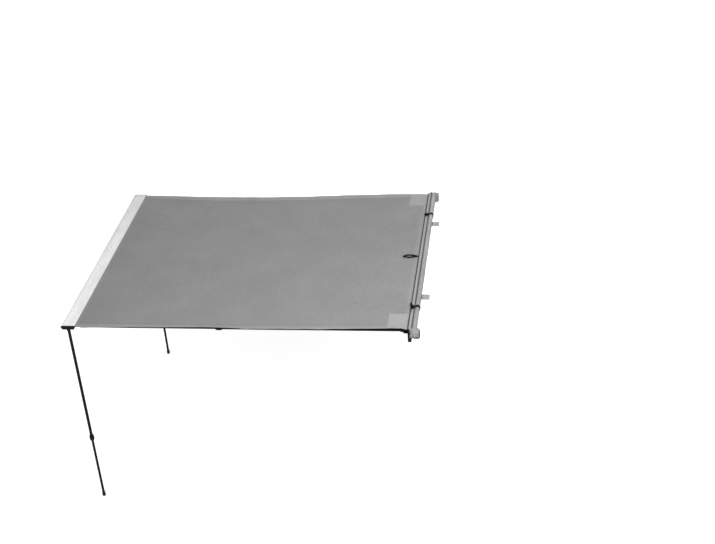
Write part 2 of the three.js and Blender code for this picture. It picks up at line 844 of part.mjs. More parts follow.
function collar(at) {
  const low = at - collarLength / 2;
  const high = at + collarLength / 2;
  const gripLow = low + collarRingLength;
  const gripHigh = high - collarNoseLength;
  const step = at + collarSeat + fitGap;
  const bore = outerRadius + fitGap;
  const throat = innerRadius + fitGap;
  const body = turned([
    [bore, low], [collarRingRadius, low], [collarRingRadius, gripLow], [collarRadius, gripLow],
    [collarRadius, gripHigh], [collarNoseRadius, high], [throat, high], [throat, step],
    [bore, step], [bore, low],
  ]);
  const cutters = Array.from({ length: flutes }, (_, i) => {
    const angle = 2 * Math.PI * i / flutes;
    const reach = collarRadius + fluteRadius * fluteCutShare;
    return placed(extruded(disc([0, 0], fluteRadius, fluteSegments),
      gripHigh - gripLow + collarNoseLength), [1, 0, 0], [0, 1, 0], [0, 0, 1],
    [reach * Math.cos(angle), reach * Math.sin(angle), gripLow + fluteRadius / 2]);
  });
  return cut(body, ...cutters);
}

function foot() {
  const end = legLength;
  const inside = innerRadius + fitGap;
  const floor = end - footLength + footCup;
  const edge = footLength - footCup;
  return turned([
    [inside, end - footLength], [footRadius - fitGap, end - footLength],
    [footRadius, end - footLength + edge / 2], [footRadius, end - edge / 4],
    [footRadius - edge / 4, end], [0, end], [0, floor], [inside, floor],
    [inside, end - footLength],
  ]);
}

// The arm's end with an upright socket for the catch pin.
function armTip() {
  const end = catchOut - armPivotOut + tipBeyondSocket;
  const start = end - tipLength;
  const body = turned([
    [0, start], [tipRadius, start], [tipRadius, end - tipRadius / 2],
    [tipRadius / 2, end], [0, end],
  ]);
  const plug = rod(innerRadius - tubeWall - fitGap, start - bushPlug, start + fitGap);
  const alongX = (part) => placed(part, [0, 1, 0], [0, 0, 1], [1, 0, 0],
    [0, 0, catchOut - armPivotOut]);
  const boss = alongX(rod(socketRadius, 0, collarRadius));
  const hole = alongX(rod(socketHole, collarRadius - socketHoleDepth, collarRadius + fitGap,
    pinSegments));
  return cut(join(body, plug, boss), hole);
}

// Puts a pole piece in place as a leg, hanging from the lead rail.
function asLeg(geometry, x, out) {
  return welded(placed(geometry, [0, 1, 0], [1, 0, 0], [0, 0, -1],
    [x, -out, canopyLevel - legPivotBelow]));
}

// Puts a pole piece in place as an arm, reaching out from the base rail.
function asArm(geometry, x, armBelow) {
  return welded(placed(geometry, [0, 0, 1], [-1, 0, 0], [0, -1, 0],
    [x, -armPivotOut, canopyLevel - armBelow]));
}

function addLeg(end, x, out) {
  add(`leg_knuckle_${end}`, asLeg(knuckle(), x, out), 'black');
  add(`leg_upper_tube_${end}`, asLeg(outerTube(legCollarAt), x, out), 'blackMetal');
  add(`leg_collar_${end}`, asLeg(collar(legCollarAt), x, out), 'black');
  const tubeEnd = legLength - footLength + footCup - fitGap;
  add(`leg_lower_tube_${end}`, asLeg(innerTube(legInnerStart, tubeEnd), x, out), 'blackMetal');
  add(`leg_bush_${end}`, asLeg(slideBush(legInnerStart), x, out), 'black');
  add(`leg_foot_${end}`, asLeg(foot(), x, out), 'rubber');
}

function addArm(end, x, armBelow) {
  add(`arm_knuckle_${end}`, asArm(knuckle(), x, armBelow), 'black');
  add(`arm_outer_tube_${end}`, asArm(outerTube(armCollarAt), x, armBelow), 'blackMetal');
  add(`arm_collar_${end}`, asArm(collar(armCollarAt), x, armBelow), 'black');
  const tubeEnd = catchOut - armPivotOut + tipBeyondSocket - tipLength - fitGap;
  add(`arm_inner_tube_${end}`, asArm(innerTube(armInnerStart, tubeEnd), x, armBelow), 'blackMetal');
  add(`arm_bush_${end}`, asArm(slideBush(armInnerStart), x, armBelow), 'black');
  add(`arm_tip_${end}`, asArm(armTip(), x, armBelow), 'black');
}

// Base side, fixed to the vehicle
add('base_rail', welded(baseRail()), 'railSilver');
add('base_cap_near', baseCap(), 'black');
add('base_cap_far', mirrored(baseCap()), 'black');
add('mounting_bracket_near', mountingBracket(), 'steel');
add('mounting_bracket_far', mirrored(mountingBracket()), 'steel');
add('bolt_near_upper', bracketBolt(slotRise), 'steel');
add('bolt_near_lower', bracketBolt(-slotRise), 'steel');
add('bolt_far_upper', mirrored(bracketBolt(slotRise)), 'steel');
add('bolt_far_lower', mirrored(bracketBolt(-slotRise)), 'steel');
add('arm_bracket_near', armBracket(nearArmBelow), 'blackMetal');
add('arm_bracket_far', mirrored(armBracket(farArmBelow)), 'blackMetal');
add('arm_pin_near', welded(armPin(nearArmBelow)), 'steel');
add('arm_pin_far', mirrored(armPin(farArmBelow)), 'steel');

// Cloth and straps
add('canopy', canopy(), 'canopy');
add('corner_patch_near', cornerPatch(1), 'patch');
add('corner_patch_far', cornerPatch(-1), 'patch');
add('bag_cover', welded(bagCover()), 'cover');
add('end_flap_near', welded(endFlap()), 'cover');
add('end_flap_far', mirrored(endFlap()), 'cover');
add('roll_strap_near', welded(rollStrap(strapNearAt)), 'webbing');
add('roll_strap_far', welded(rollStrap(strapFarAt)), 'webbing');
add('roll_buckle_near', ladderBuckle(strapNearAt), 'black');
add('roll_buckle_far', ladderBuckle(strapFarAt), 'black');
add('storage_loop', welded(storageLoop()), 'webbing');
add('storage_buckle', welded(loopBuckle()), 'black');

// Lead rail and what is fixed to it
add('lead_rail', welded(leadRail()), 'railSilver');
add('lead_cap_near', leadCap(), 'black');
add('lead_cap_far', mirrored(leadCap()), 'black');
add('arm_catch_near', armCatch(nearArmBelow), 'black');
add('arm_catch_far', mirrored(armCatch(farArmBelow)), 'black');
add('leg_bracket_near', legBracket(nearLegOut), 'steel');
add('leg_bracket_far', mirrored(legBracket(farLegOut)), 'steel');
add('leg_pin_near', welded(legPin(nearLegOut)), 'steel');
add('leg_pin_far', mirrored(legPin(farLegOut)), 'steel');

addLeg('near', legAt, nearLegOut);
addLeg('far', -legAt, farLegOut);
addArm('near', armAt, nearArmBelow);
addArm('far', -armAt, farArmBelow);

export default group;
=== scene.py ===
import math

import bpy
import numpy as np
from mathutils import Matrix, Vector, noise


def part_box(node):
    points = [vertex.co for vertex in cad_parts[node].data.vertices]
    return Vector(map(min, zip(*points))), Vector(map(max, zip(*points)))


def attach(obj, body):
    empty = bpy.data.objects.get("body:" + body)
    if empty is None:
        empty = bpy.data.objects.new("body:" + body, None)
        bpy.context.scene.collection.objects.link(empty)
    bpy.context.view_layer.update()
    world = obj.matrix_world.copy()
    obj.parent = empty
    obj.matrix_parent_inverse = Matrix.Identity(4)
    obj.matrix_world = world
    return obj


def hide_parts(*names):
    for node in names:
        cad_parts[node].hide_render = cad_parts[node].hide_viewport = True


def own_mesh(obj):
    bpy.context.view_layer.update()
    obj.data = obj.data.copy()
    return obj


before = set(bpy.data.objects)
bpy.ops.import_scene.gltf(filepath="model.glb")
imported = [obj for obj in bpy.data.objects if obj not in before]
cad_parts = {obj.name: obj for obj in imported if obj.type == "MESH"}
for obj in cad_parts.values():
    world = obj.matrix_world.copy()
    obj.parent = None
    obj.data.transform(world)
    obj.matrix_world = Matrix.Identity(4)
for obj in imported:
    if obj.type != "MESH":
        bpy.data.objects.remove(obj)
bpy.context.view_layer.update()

# Studio: where the awning is looked at from, the pale floor that it stands on, and soft light.
# The camera looks down along the canopy from beyond the near end. Lengths in this file are
# millimetres until make_piece turns them into metres; "out" is the distance away from the vehicle.
IMAGE_WIDTH = 715
FOCAL_PIXELS = 1298.23
SENSOR = 36.0
AZIMUTH, ELEVATION, ROLL = (math.radians(a) for a in (99.0458, 30.8564, -4.355))
CAMERA_AT = (8.4078, 0.8396, 5.0058)
VIEW_DEPTH = 200
GROUND = -1537.0
FLOOR_REACH = 60000.0
ENDS = (("near", 1), ("far", -1))
# Where a form's own X, Y and Z point to when it lies along the rails or stands upright.
ALONG_RAILS = ((0, 1, 0), (0, 0, 1), (1, 0, 0))
UPRIGHT = ((1, 0, 0), (0, 1, 0), (0, 0, 1))
# Patterns: the rails' ends in metres, over which painted light fades on rails and cloth, and
# the bands that a wave texture of scale 1 draws along one metre.
RAIL_ENDS_X = (-1.0, 1.0)
WAVE_BANDS = 3.2


def to_linear(code):
    """An sRGB hex colour as the linear colour that a shader takes."""
    parts = [int(code[i:i + 2], 16) / 255 for i in (0, 2, 4)]
    return *(c / 12.92 if c <= 0.04045 else ((c + 0.055) / 1.055) ** 2.4 for c in parts), 1.0


def add_node(tree, kind, inputs, **settings):
    """Adds one node; inputs gives each socket a value or another node's output."""
    node = tree.nodes.new("ShaderNode" + kind)
    for name, value in settings.items():
        setattr(node, name, value)
    for socket, value in inputs.items():
        if isinstance(value, bpy.types.NodeSocket):
            tree.links.new(value, node.inputs[socket])
        else:
            node.inputs[socket].default_value = value
    return node


def new_material(name, follows="Object", **constants):
    """A material, its surface shader and the place that its textures follow: "Object", in
    metres from the origin, or "UV", along the surface. constants are plain shader sockets."""
    material = bpy.data.materials.new(name)
    material.use_nodes = True
    surface = material.node_tree.nodes["Principled BSDF"]
    for socket, value in constants.items():
        surface.inputs[socket.replace("_", " ")].default_value = value
    return material, surface, add_node(material.node_tree, "TexCoord", {}).outputs[follows]


def maths(operation, first, *others):
    """One sum on other nodes' results and numbers."""
    inputs = dict(enumerate((first, *others)))
    return add_node(first.id_data, "Math", inputs, operation=operation).outputs[0]


def grown(value, share, start):
    """A start with a share of the value added to it."""
    return maths("MULTIPLY_ADD", value, share, start)


def ramp(value, low, high, start=0.0, end=1.0):
    """A value's way from low to high, turned into a way from start to end."""
    return add_node(value.id_data, "MapRange", {
        "Value": value, "From Min": low, "From Max": high, "To Min": start,
        "To Max": end}).outputs[0]


def axes(place):
    """The X, Y and Z of a place."""
    return add_node(place.id_data, "SeparateXYZ", {"Vector": place}).outputs


def mixed(share, first, second):
    """Two colours mixed; each is an sRGB hex code or another node's result."""
    first, second = (to_linear(c) if isinstance(c, str) else c for c in (first, second))
    return add_node(share.id_data, "Mix", {0: share, 6: first, 7: second},
                    data_type="RGBA").outputs[2]


def blots(place, mm, detail, **more):
    """Noise with blots of a size in millimetres; a tuple gives their size along each axis."""
    if isinstance(mm, tuple):
        place = add_node(place.id_data, "Mapping", {
            "Vector": place, "Scale": tuple(1000 / size for size in mm)}).outputs[0]
        mm = 1000
    return add_node(place.id_data, "TexNoise", {
        "Vector": place, "Scale": 1000 / mm, "Detail": detail, **more}).outputs[0]


def threads(place, pitch, direction):
    """Bands at a pitch in millimetres along X or Y, as threads and ribs lie."""
    return add_node(place.id_data, "TexWave", {
        "Vector": place, "Scale": 1000 / pitch / WAVE_BANDS},
        bands_direction=direction).outputs["Fac"]


def emboss(height, strength, mm, under=None, **settings):
    """A relief of a depth in millimetres, over the one under it."""
    inputs = {"Height": height, "Strength": strength, "Distance": mm * 0.001}
    if under is not None:
        inputs["Normal"] = under
    return add_node(height.id_data, "Bump", inputs, **settings).outputs[0]


def coat(surface, tone, gloss=None, relief=None):
    """Gives a surface its colour, roughness and relief from nodes."""
    for socket, value in (("Base Color", tone), ("Roughness", gloss), ("Normal", relief)):
        if value is not None:
            surface.id_data.links.new(value, surface.inputs[socket])


def make_piece(name, form, material):
    """A mesh piece of a form: its points and UV in millimetres, and its faces. The UV has one
    pair for each face corner and says how the surface lies, not where a picture goes."""
    points, faces, lay = form
    mesh = bpy.data.meshes.new(name)
    mesh.from_pydata((np.asarray(points, float) * 0.001).tolist(), [], faces)
    layer = mesh.uv_layers.new(name="lay")
    layer.data.foreach_set("uv", (np.asarray(lay, float) * 0.001).ravel())
    mesh.shade_smooth()
    mesh.materials.append(material)
    piece = bpy.data.objects.new(name, mesh)
    bpy.context.scene.collection.objects.link(piece)
    return piece


def look_from(azimuth, elevation, roll):
    """The camera's turn, with azimuth 0 looking along +Y and positive elevation from above."""
    back = Vector((math.sin(azimuth) * math.cos(elevation),
                   -math.cos(azimuth) * math.cos(elevation), math.sin(elevation)))
    right = Vector((0, 0, 1)).cross(back).normalized()
    up = back.cross(right)
    turned_right = math.cos(roll) * right + math.sin(roll) * up
    turned_up = -math.sin(roll) * right + math.cos(roll) * up
    return Matrix((turned_right, turned_up, back)).transposed().to_4x4()


lens = bpy.data.cameras.new("studio_camera")
lens.sensor_fit = "HORIZONTAL"
lens.sensor_width = SENSOR
lens.lens = FOCAL_PIXELS * SENSOR / IMAGE_WIDTH
lens.clip_end = VIEW_DEPTH
camera = bpy.data.objects.new("studio_camera", lens)
camera.matrix_world = Matrix.Translation(CAMERA_AT) @ look_from(AZIMUTH, ELEVATION, ROLL)
bpy.context.scene.collection.objects.link(camera)
bpy.context.scene.camera = camera
bpy.context.scene.view_settings.view_transform = "Standard"

# Painted studio floor: matt white emulsion that keeps the awning's shadow. The small glow is
# seen by the camera alone, so the bare floor reads as white without more light on the cloth.
ROLLER_MM = 40
FLOOR_GLOW = 0.4
floor_paint, surface, place = new_material(
    "matt_white_emulsion", Roughness=0.95, Specular_IOR_Level=0.0, Emission_Color=(1, 1, 1, 1))
coat(surface, mixed(blots(place, mm=ROLLER_MM, detail=2.0), "f2f2f2", "f4f4f4"))
rays = add_node(surface.id_data, "LightPath", {}).outputs
surface.id_data.links.new(maths("MULTIPLY", rays["Is Camera Ray"], FLOOR_GLOW),
                          surface.inputs["Emission Strength"])
reach = FLOOR_REACH
corners = [(-reach, -reach), (reach, -reach), (reach, reach), (-reach, reach)]
floor = make_piece("studio_floor", ([(x, y, GROUND) for x, y in corners], [(0, 1, 2, 3)],
                                    corners), floor_paint)

# Even studio light from all round, with one wide soft lamp high beyond the near end.
# The world is white to the camera and to reflections, and dimmer as a light. It stands in
# for the lamp in reflections, so that bare aluminium doesn't clip when seen against the light.
WORLD_LIGHT = 0.62
LAMP_LIGHT = 1.95
LAMP_WIDTH = math.radians(50)
LAMP_FROM = (0.85, 0.12, 0.66)
world = bpy.data.worlds.new("studio_world")
bpy.context.scene.world = world
world.use_nodes = True
background = world.node_tree.nodes["Background"]
background.inputs["Color"].default_value = (1, 1, 1, 1)
rays = add_node(world.node_tree, "LightPath", {}).outputs
seen = maths("MAXIMUM", rays["Is Camera Ray"], rays["Is Glossy Ray"])
seen = maths("MAXIMUM", seen, rays["Is Transmission Ray"])
world.node_tree.links.new(ramp(seen, 0.0, 1.0, WORLD_LIGHT), background.inputs["Strength"])

lamp = bpy.data.lights.new("wide_soft_lamp", "SUN")
lamp.energy = LAMP_LIGHT
lamp.angle = LAMP_WIDTH
lamp_holder = bpy.data.objects.new("wide_soft_lamp", lamp)
lamp_holder.visible_glossy = False
lamp_holder.rotation_euler = Vector(LAMP_FROM).to_track_quat("Z", "Y").to_euler()
bpy.context.scene.collection.objects.link(lamp_holder)

# Base rail: the extruded aluminium back of the awning, silver anodised, with two T slots for
# the mounting bolts and two round slots for the cords of canopy and bag cover. It is bolted
# to the brackets and carries everything else.
DIE_LINE_MM = (1000 / 1.2, 2.5, 2.5)
HANDLING_MM = (300, 60, 60)
FLECK_MM = (40, 13, 13)
DENTS_PER_METRE = 22.0
# Base rail tones at the far and near ends; the difference between them is a painted reflection.
BASE_RAIL_FAR = "a0a0a1"
BASE_RAIL_NEAR = "b7b7b8"
SLOT_EDGE_Y = (-0.0205, -0.0145)
SLOT_FOOT_Z = (0.052, 0.058)
SHARP_ANGLE = math.radians(32)


def rail_finish(name, far_colour, near_colour, smudge_colour):
    """Anodised aluminium, extruded: satin metal with faint lines along the die, smudges and
    dents from handling, and a painted reflection that makes it greyer toward the far end. The
    real die lines are about 0.3 mm apart and are drawn at 2.5 mm, so that they show."""
    finish, surface, place = new_material(name, Metallic=1.0)
    lines = blots(place, mm=DIE_LINE_MM, detail=3.0)
    smudge = blots(place, mm=HANDLING_MM, detail=5.0, Roughness=0.65)
    fleck = ramp(blots(place, mm=FLECK_MM, detail=4.0, Roughness=0.6), 0.56, 0.72, 0.0, 0.45)
    speck = add_node(surface.id_data, "TexVoronoi", {
        "Vector": place, "Scale": DENTS_PER_METRE}).outputs["Distance"]
    dent = ramp(speck, 0.05, 0.14, 1.0, 0.0)
    # Painted reflection: greyer toward the far end, brighter toward the near end.
    painted_light_fade = maths("POWER", ramp(axes(place)["X"], *RAIL_ENDS_X), 0.6)
    spoiled = ramp(smudge, 0.42, 0.72, 0.0, 0.3)
    for marks in (dent, fleck):
        spoiled = maths("MAXIMUM", spoiled, marks)
    tone = mixed(spoiled, mixed(painted_light_fade, far_colour, near_colour), smudge_colour)
    gloss = grown(smudge, 0.14, grown(lines, 0.16, 0.26))
    relief = emboss(lines, strength=0.12, mm=0.3)
    coat(surface, tone, gloss, emboss(dent, strength=0.25, mm=0.6, under=relief, invert=True))
    return finish, surface, place


def lay_colour(surface, share, colour):
    """Lays a colour over the surface's own where share is high: painted shade or darker marks."""
    coat(surface, mixed(share, surface.inputs["Base Color"].links[0].from_socket, colour))


# The base rail is greyer than the lead rail, and a dark line of painted shade runs along the
# mouth of the canopy's slot at its front edge.
base_aluminium, surface, place = rail_finish("anodised_aluminium_base", BASE_RAIL_FAR,
                                             BASE_RAIL_NEAR, "8b8b8c")
parts = axes(place)
# Painted shade: a dark line on the top front edge, where the canopy's slot opens.
slot_painted_shade = maths("MULTIPLY", ramp(parts["Y"], *SLOT_EDGE_Y, 1.0, 0.0),
              ramp(parts["Z"], *SLOT_FOOT_Z))
lay_colour(surface, slot_painted_shade, "262626")


def soften(piece, width, segments=2):
    """Rounds a piece's edges by a width in millimetres and shades the flats evenly."""
    edge = piece.modifiers.new("soft_edges", "BEVEL")
    edge.width = width * 0.001
    edge.segments = segments
    edge.limit_method = "ANGLE"
    edge.angle_limit = SHARP_ANGLE
    edge.harden_normals = True
    return piece


def dress(node, material, width=0.6, segments=2):
    """Gives a CAD node its finish and soft edges; its mesh stays as packed."""
    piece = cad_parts[node]
    piece.data.materials.clear()
    piece.data.materials.append(material)
    return soften(piece, width, segments)


dress("base_rail", base_aluminium, 0.5)

# Base rail end caps: black ABS plates, injection moulded, pushed into the rail's hollow
# chambers and held by two screws each.
ABS_BLACK = "0a0b0c"
AXIS_RING = 0.05
GRAIN_MM = 1.6
RUB_MM = 1000 / 60
SPANGLE_MM = 6

# ABS, moulded with a fine spark-eroded grain: dull black with a soft highlight.
# The grain is about 0.3 mm on the real piece and is drawn at 1.6 mm.
moulded_abs, surface, place = new_material("moulded_abs", IOR=1.53, Specular_IOR_Level=0.12)
grain = blots(place, mm=GRAIN_MM, detail=2.0)
rub = blots(place, mm=RUB_MM, detail=6.0, Roughness=0.7)
coat(surface, mixed(ramp(rub, 0.55, 0.8), ABS_BLACK, "1a1b1c"),
     grown(rub, 0.3, 0.34), emboss(grain, strength=0.35, mm=0.2))

# Zinc-plated steel, rolled and bright dipped: pale grey metal with a faint mottled spangle.
# The spangle is 3 to 8 mm across.
zinc_plate, surface, place = new_material("zinc_plated_steel", Metallic=1.0)
spangle = add_node(surface.id_data, "TexVoronoi", {
    "Vector": place, "Scale": 1000 / SPANGLE_MM}).outputs["Color"]
haze = blots(place, mm=25, detail=4.0)
coat(surface, mixed(spangle, "a9abad", "bdbec0"), grown(haze, 0.3, 0.2),
     emboss(haze, strength=0.1, mm=0.4))


def net(rows, lengths, widths, closed=False, capped=False):
    """Points, faces and UV of a net of points. lengths are the distances along the rows and
    widths those across, in millimetres; closed joins the last column to the first."""
    rows = np.asarray(rows, float)
    count, columns = rows.shape[:2]
    i, j = np.meshgrid(np.arange(count - 1), np.arange(columns if closed else columns - 1),
                       indexing="ij")
    i, j = i.ravel(), j.ravel()
    corners = ((0, 0), (0, 1), (1, 1), (1, 0))
    faces = np.stack([(i + a) * columns + (j + b) % columns for a, b in corners], 1).tolist()
    lengths, widths = np.asarray(lengths, float), np.asarray(widths, float)
    lay = np.stack([np.stack([widths[j + b], lengths[i + a]], 1) for a, b in corners], 1)
    lay = lay.reshape(-1, 2).tolist()
    if capped:
        last = (count - 1) * columns
        faces += [list(range(columns))[::-1], [last + c for c in range(columns)]]
        lay += [[0.0, 0.0]] * (2 * columns)
    return rows.reshape(-1, 3), faces, lay


def together(*nets):
    """Several nets as one, for pieces moulded or pressed from more than one form."""
    points, faces, lay = [], [], []
    for some_points, some_faces, some_lay in nets:
        start = len(points)
        points += [list(p) for p in some_points]
        faces += [[start + v for v in face] for face in some_faces]
        lay += list(some_lay)
    return points, faces, lay


def distances(line):
    """How far each point of a line lies from its first, measured along the line."""
    return np.concatenate([[0], np.cumsum([math.dist(a, b) for a, b in zip(line, line[1:])])])


def turned(profile, sides=40, shape=None):
    """A net turned about local Z from [radius, height] pairs; shape(angle, radius, height)
    may change the radius."""
    angles = [math.tau * s / sides for s in range(sides)]
    rows = []
    for radius, height in profile:
        reach = [shape(a, radius, height) if shape else radius for a in angles]
        rows += [[(r * math.cos(a), r * math.sin(a), height) for r, a in zip(reach, angles)]]
    widest = max(r for r, _ in profile)
    widths = [math.tau * widest * s / sides for s in range(sides + 1)]
    return net(rows, distances(profile), widths, closed=True, capped=True)


def solid(profile, sides=40, shape=None):
    """A turned net whose two ends are flat discs, closed by a small ring about the axis."""
    first, last = profile[0][1], profile[-1][1]
    return turned([(AXIS_RING, first), *profile, (AXIS_RING, last)], sides, shape)


def placed(form, x_axis, y_axis, z_axis, at):
    """A net moved so that its own axes lie along the given ones, from the point at."""
    points, faces, lay = form
    basis = np.array([x_axis, y_axis, z_axis], float)
    return np.asarray(points, float) @ basis + np.array(at, float), faces, lay


def screw_head(sides=24):
    """A pan-head screw seen from outside, with a six-sided socket."""
    def socket(angle, radius, height):
        if radius > 2.2:
            return radius
        turn = (angle + math.pi / 6) % (math.pi / 3) - math.pi / 6
        return radius * math.cos(math.pi / 6) / math.cos(turn)
    return solid([(1.9, 0.6), (1.9, 2.1), (2.1, 2.3), (3.2, 2.2), (4.1, 1.6), (4.5, 0.7),
                  (4.5, -1.5)], sides, socket)


# Black-oxide steel of the cap screws: nearly black, satin, with faint wear on the edges.
black_oxide, surface, place = new_material("black_oxide_steel", Metallic=0.2, IOR=1.5,
                                           Specular_IOR_Level=0.25)
haze = blots(place, mm=3, detail=4.0)
coat(surface, mixed(haze, "141516", "2a2b2c"), grown(haze, 0.3, 0.3),
     emboss(haze, strength=0.15, mm=0.2))

CAP_FACE = 1005.3


def cap_screws(rail, end, side, spots):
    """Screws at [out, up] spots on a rail's end cap. They ride on the rail."""
    heads = [placed(screw_head(), (0, 1, 0), (0, 0, side), (side, 0, 0),
                    (side * CAP_FACE, -out, up)) for out, up in spots]
    screws = make_piece(f"{rail}_cap_screws_{end}", together(*heads), black_oxide)
    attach(soften(screws, 0.15, 1), rail)


for end, side in ENDS:
    dress(f"base_cap_{end}", moulded_abs, 1.0, 3)
    cap_screws("base", end, side, [(12, 48), (12, -27)])

# Mounting brackets: two L brackets of 5 mm pressed steel plate, zinc plated. The upright is
# bolted to the rail's T slots, and the foot stands on the roof rack with two slotted holes.
for end in ("near", "far"):
    dress(f"mounting_bracket_{end}", zinc_plate, 0.7)
    for level in ("upper", "lower"):
        dress(f"bolt_{end}_{level}", zinc_plate, 0.4)

# Arm brackets: folded steel ears screwed to the front of the base rail, powder coated black,
# each holding an arm on an upright zinc-plated pin.
ARM_AT = 912.0
ARM_PIVOT_OUT = 50.0
ARM_LEVEL = {"near": 2.0, "far": -38.0}

# Powder-coated steel: black with a fine orange-peel skin and small bright chips from handling.
powder_coat, surface, place = new_material("black_powder_coat", IOR=1.5, Specular_IOR_Level=0.15)
peel = blots(place, mm=2.2, detail=1.0)
worn = blots(place, mm=1000 / 45, detail=8.0, Roughness=0.72)
tone = mixed(ramp(worn, 0.69, 0.74), mixed(worn, "0e0f10", "191a1b"), "505254")
coat(surface, tone, grown(worn, 0.25, 0.28), emboss(peel, strength=0.3, mm=0.2))


def cross_pin(grip):
    """A headed pin with a retaining collar, about the middle of its grip along local Z."""
    face = grip + 0.3
    half = [(4.2, face + 3), (5.9, face + 2.4), (6.5, face + 1.4), (6.5, face), (4.0, face)]
    return solid([(r, -h) for r, h in half] + half[::-1], 32)


for end, side in ENDS:
    dress(f"arm_bracket_{end}", powder_coat, 0.7)
    pin = make_piece(f"arm_bracket_pin_{end}", placed(
        cross_pin(16.3), *UPRIGHT, (side * ARM_AT, -ARM_PIVOT_OUT, ARM_LEVEL[end])), zinc_plate)
    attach(soften(pin, 0.25), "base")
    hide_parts(f"arm_pin_{end}")

# Bag cover: the travel bag of light grey PVC-coated cloth. Its cord runs in the round slot on
# the rail's back. With the awning open it is rolled up tightly behind the rail, crumpled along
# its length and pulled in under the two straps.
ROLL_HALF_WIDTH = 16.0
ROLL_HALF_HEIGHT = 18.0
ROLL_MIDDLE_OUT = -25.0
ROLL_MIDDLE_UP = 60.2
ROLL_PITCH = 2.4
ROLL_TURNS = 5.25
CREASES_BEGIN = 0.7
COVER_HALF_LENGTH = 994.0
COVER_THICKNESS = 1.5
# Crease tones: painted shade between the creases and a painted highlight on their crests.
COVER_CREASE_SHADE = "7b7b7c"
COVER_CREASE_HIGHLIGHT = "c2c2c3"
VALLEY_SHADE_Y = (0.001, 0.0125)
ROLL_BACK_SHADE_Y = (0.031, 0.04)
STRAP_PLACES = {"near": 720.0, "far": -640.0}
ROLL_END_X = (0.993, 0.997)
SCRIM_MM = 2.4

# PVC-coated polyester, calendered: a pale, slightly glossy skin over a cloth whose threads
# show through. The threads are 1.2 mm apart on the real cover and are drawn at 2.4 mm. The
# colour follows the creases as painted light, lighter on their crests and darker between
# them, and dirt lies over it in blotches. Painted shade darkens the valley beside the rail
# and the roll's back, but not the end flaps.
coated_vinyl, surface, lay = new_material("pvc_coated_cloth", "UV", IOR=1.53, Coat_Weight=0.25,
                                          Coat_Roughness=0.3)
place = add_node(surface.id_data, "TexCoord", {}).outputs["Object"]
scrim = maths("ADD", threads(lay, SCRIM_MM, "X"), threads(lay, SCRIM_MM, "Y"))
crease = blots(lay, mm=55, detail=6.0, Roughness=0.62, Distortion=0.6)
darkening = blots(place, mm=130, detail=5.0)
# Painted light follows the creases; dirt blotches lie over it.
tone = mixed(ramp(darkening, 0.45, 0.85, 0.0, 0.4), mixed(crease, COVER_CREASE_SHADE, COVER_CREASE_HIGHLIGHT), "6c6c6d")
parts = axes(place)
# Painted shade in the valley beside the rail and on the roll's back.
valley_and_back_shade = maths("MAXIMUM", ramp(parts["Y"], *VALLEY_SHADE_Y, 0.75, 0.0),
               ramp(parts["Y"], *ROLL_BACK_SHADE_Y, 0.0, 0.5))
on_roll = ramp(maths("ABSOLUTE", parts["X"]), *ROLL_END_X, 1.0, 0.0)
tone = mixed(maths("MULTIPLY", valley_and_back_shade, on_roll), tone, "2e2e2f")
coat(surface, tone, grown(darkening, 0.28, 0.26),
     emboss(crease, strength=0.55, mm=4, under=emboss(scrim, strength=0.12, mm=0.3)))


def roll_point(angle, inset):
    """[out, up] on the roll's outline, shrunk by inset and turned by angle from its front."""
    return (ROLL_MIDDLE_OUT + (ROLL_HALF_WIDTH - inset) * math.cos(angle),
            ROLL_MIDDLE_UP + (ROLL_HALF_HEIGHT - inset) * math.sin(angle))


def ridges(x, y, z=0.0):
    """Crease lines: 1 along the crest of each crease and 0 between them."""
    return (1 - min(abs(noise.noise(Vector((x, y, z)))) * 2.6, 1)) ** 2


def crumple(x, angle):
    """How far the rolled cover stands in from its even outline, in millimetres. The turns lie
    in each other, so the inner ones carry the outer one's folds, fading to none."""
    turns = angle / math.tau
    round_share = turns % 1
    ring = (2.2 * math.cos(angle), 2.2 * math.sin(angle))
    slack = 2.0 * noise.noise(Vector((x / 210, *ring)))
    cinch = sum(math.exp(-((x - at) / 26) ** 2) for at in STRAP_PLACES.values())
    pull = sum(math.exp(-abs(x - at) / 70) for at in STRAP_PLACES.values())
    folds = 1.8 * ridges(x / 85, ring[0], ring[1]) + (0.6 + 1.3 * pull) * ridges(
        x / 30, 1.6 * ring[0], 1.6 * ring[1] + 8.2)
    top_channel = 2.2 * math.exp(-((round_share - 0.27) / 0.045) ** 2) * (
        0.5 + 0.5 * noise.noise(Vector((x / 160, 4.0, 1.0)))) * (1 - cinch)
    return max(1 - turns / 3, 0) * (1.3 * cinch + (folds + top_channel - slack) * (1 - cinch) - 0.6)


def on_cover(x, angle, lift=0.0, ease=1.0, creased_at=None):
    """A point at a lift over the rolled cover. Its creases are those at x or at creased_at,
    and ease is how much of them is there."""
    stand_in = ease * crumple(x if creased_at is None else creased_at, angle)
    out, up = roll_point(angle, ROLL_PITCH * angle / math.tau + stand_in - lift)
    return x, -out, up


def bag_cover_form():
    """The sheet from its cord in the rail's slot, round and round to the free edge inside."""
    columns = np.linspace(-COVER_HALF_LENGTH, COVER_HALF_LENGTH, 210)
    outer = np.linspace(0, 2.2 * math.pi, 70)
    inner = np.linspace(2.2 * math.pi, math.tau * ROLL_TURNS, 110)[1:]
    angles = np.concatenate([outer, inner])
    rows = [[(x, -out, 61.0) for x in columns] for out in (5.0, 2.0, 0.0)]
    rows += [[on_cover(x, angle, ease=min(angle / CREASES_BEGIN, 1.0)) for x in columns]
             for angle in angles]
    run = distances([row[len(row) // 2] for row in rows])
    return net(rows, run, columns), run[-1]


def thicken(piece, thickness):
    """Gives a sheet its real thickness in millimetres, half to each side."""
    wall = piece.modifiers.new("cloth_thickness", "SOLIDIFY")
    wall.thickness = thickness * 0.001
    wall.offset = 0
    return piece


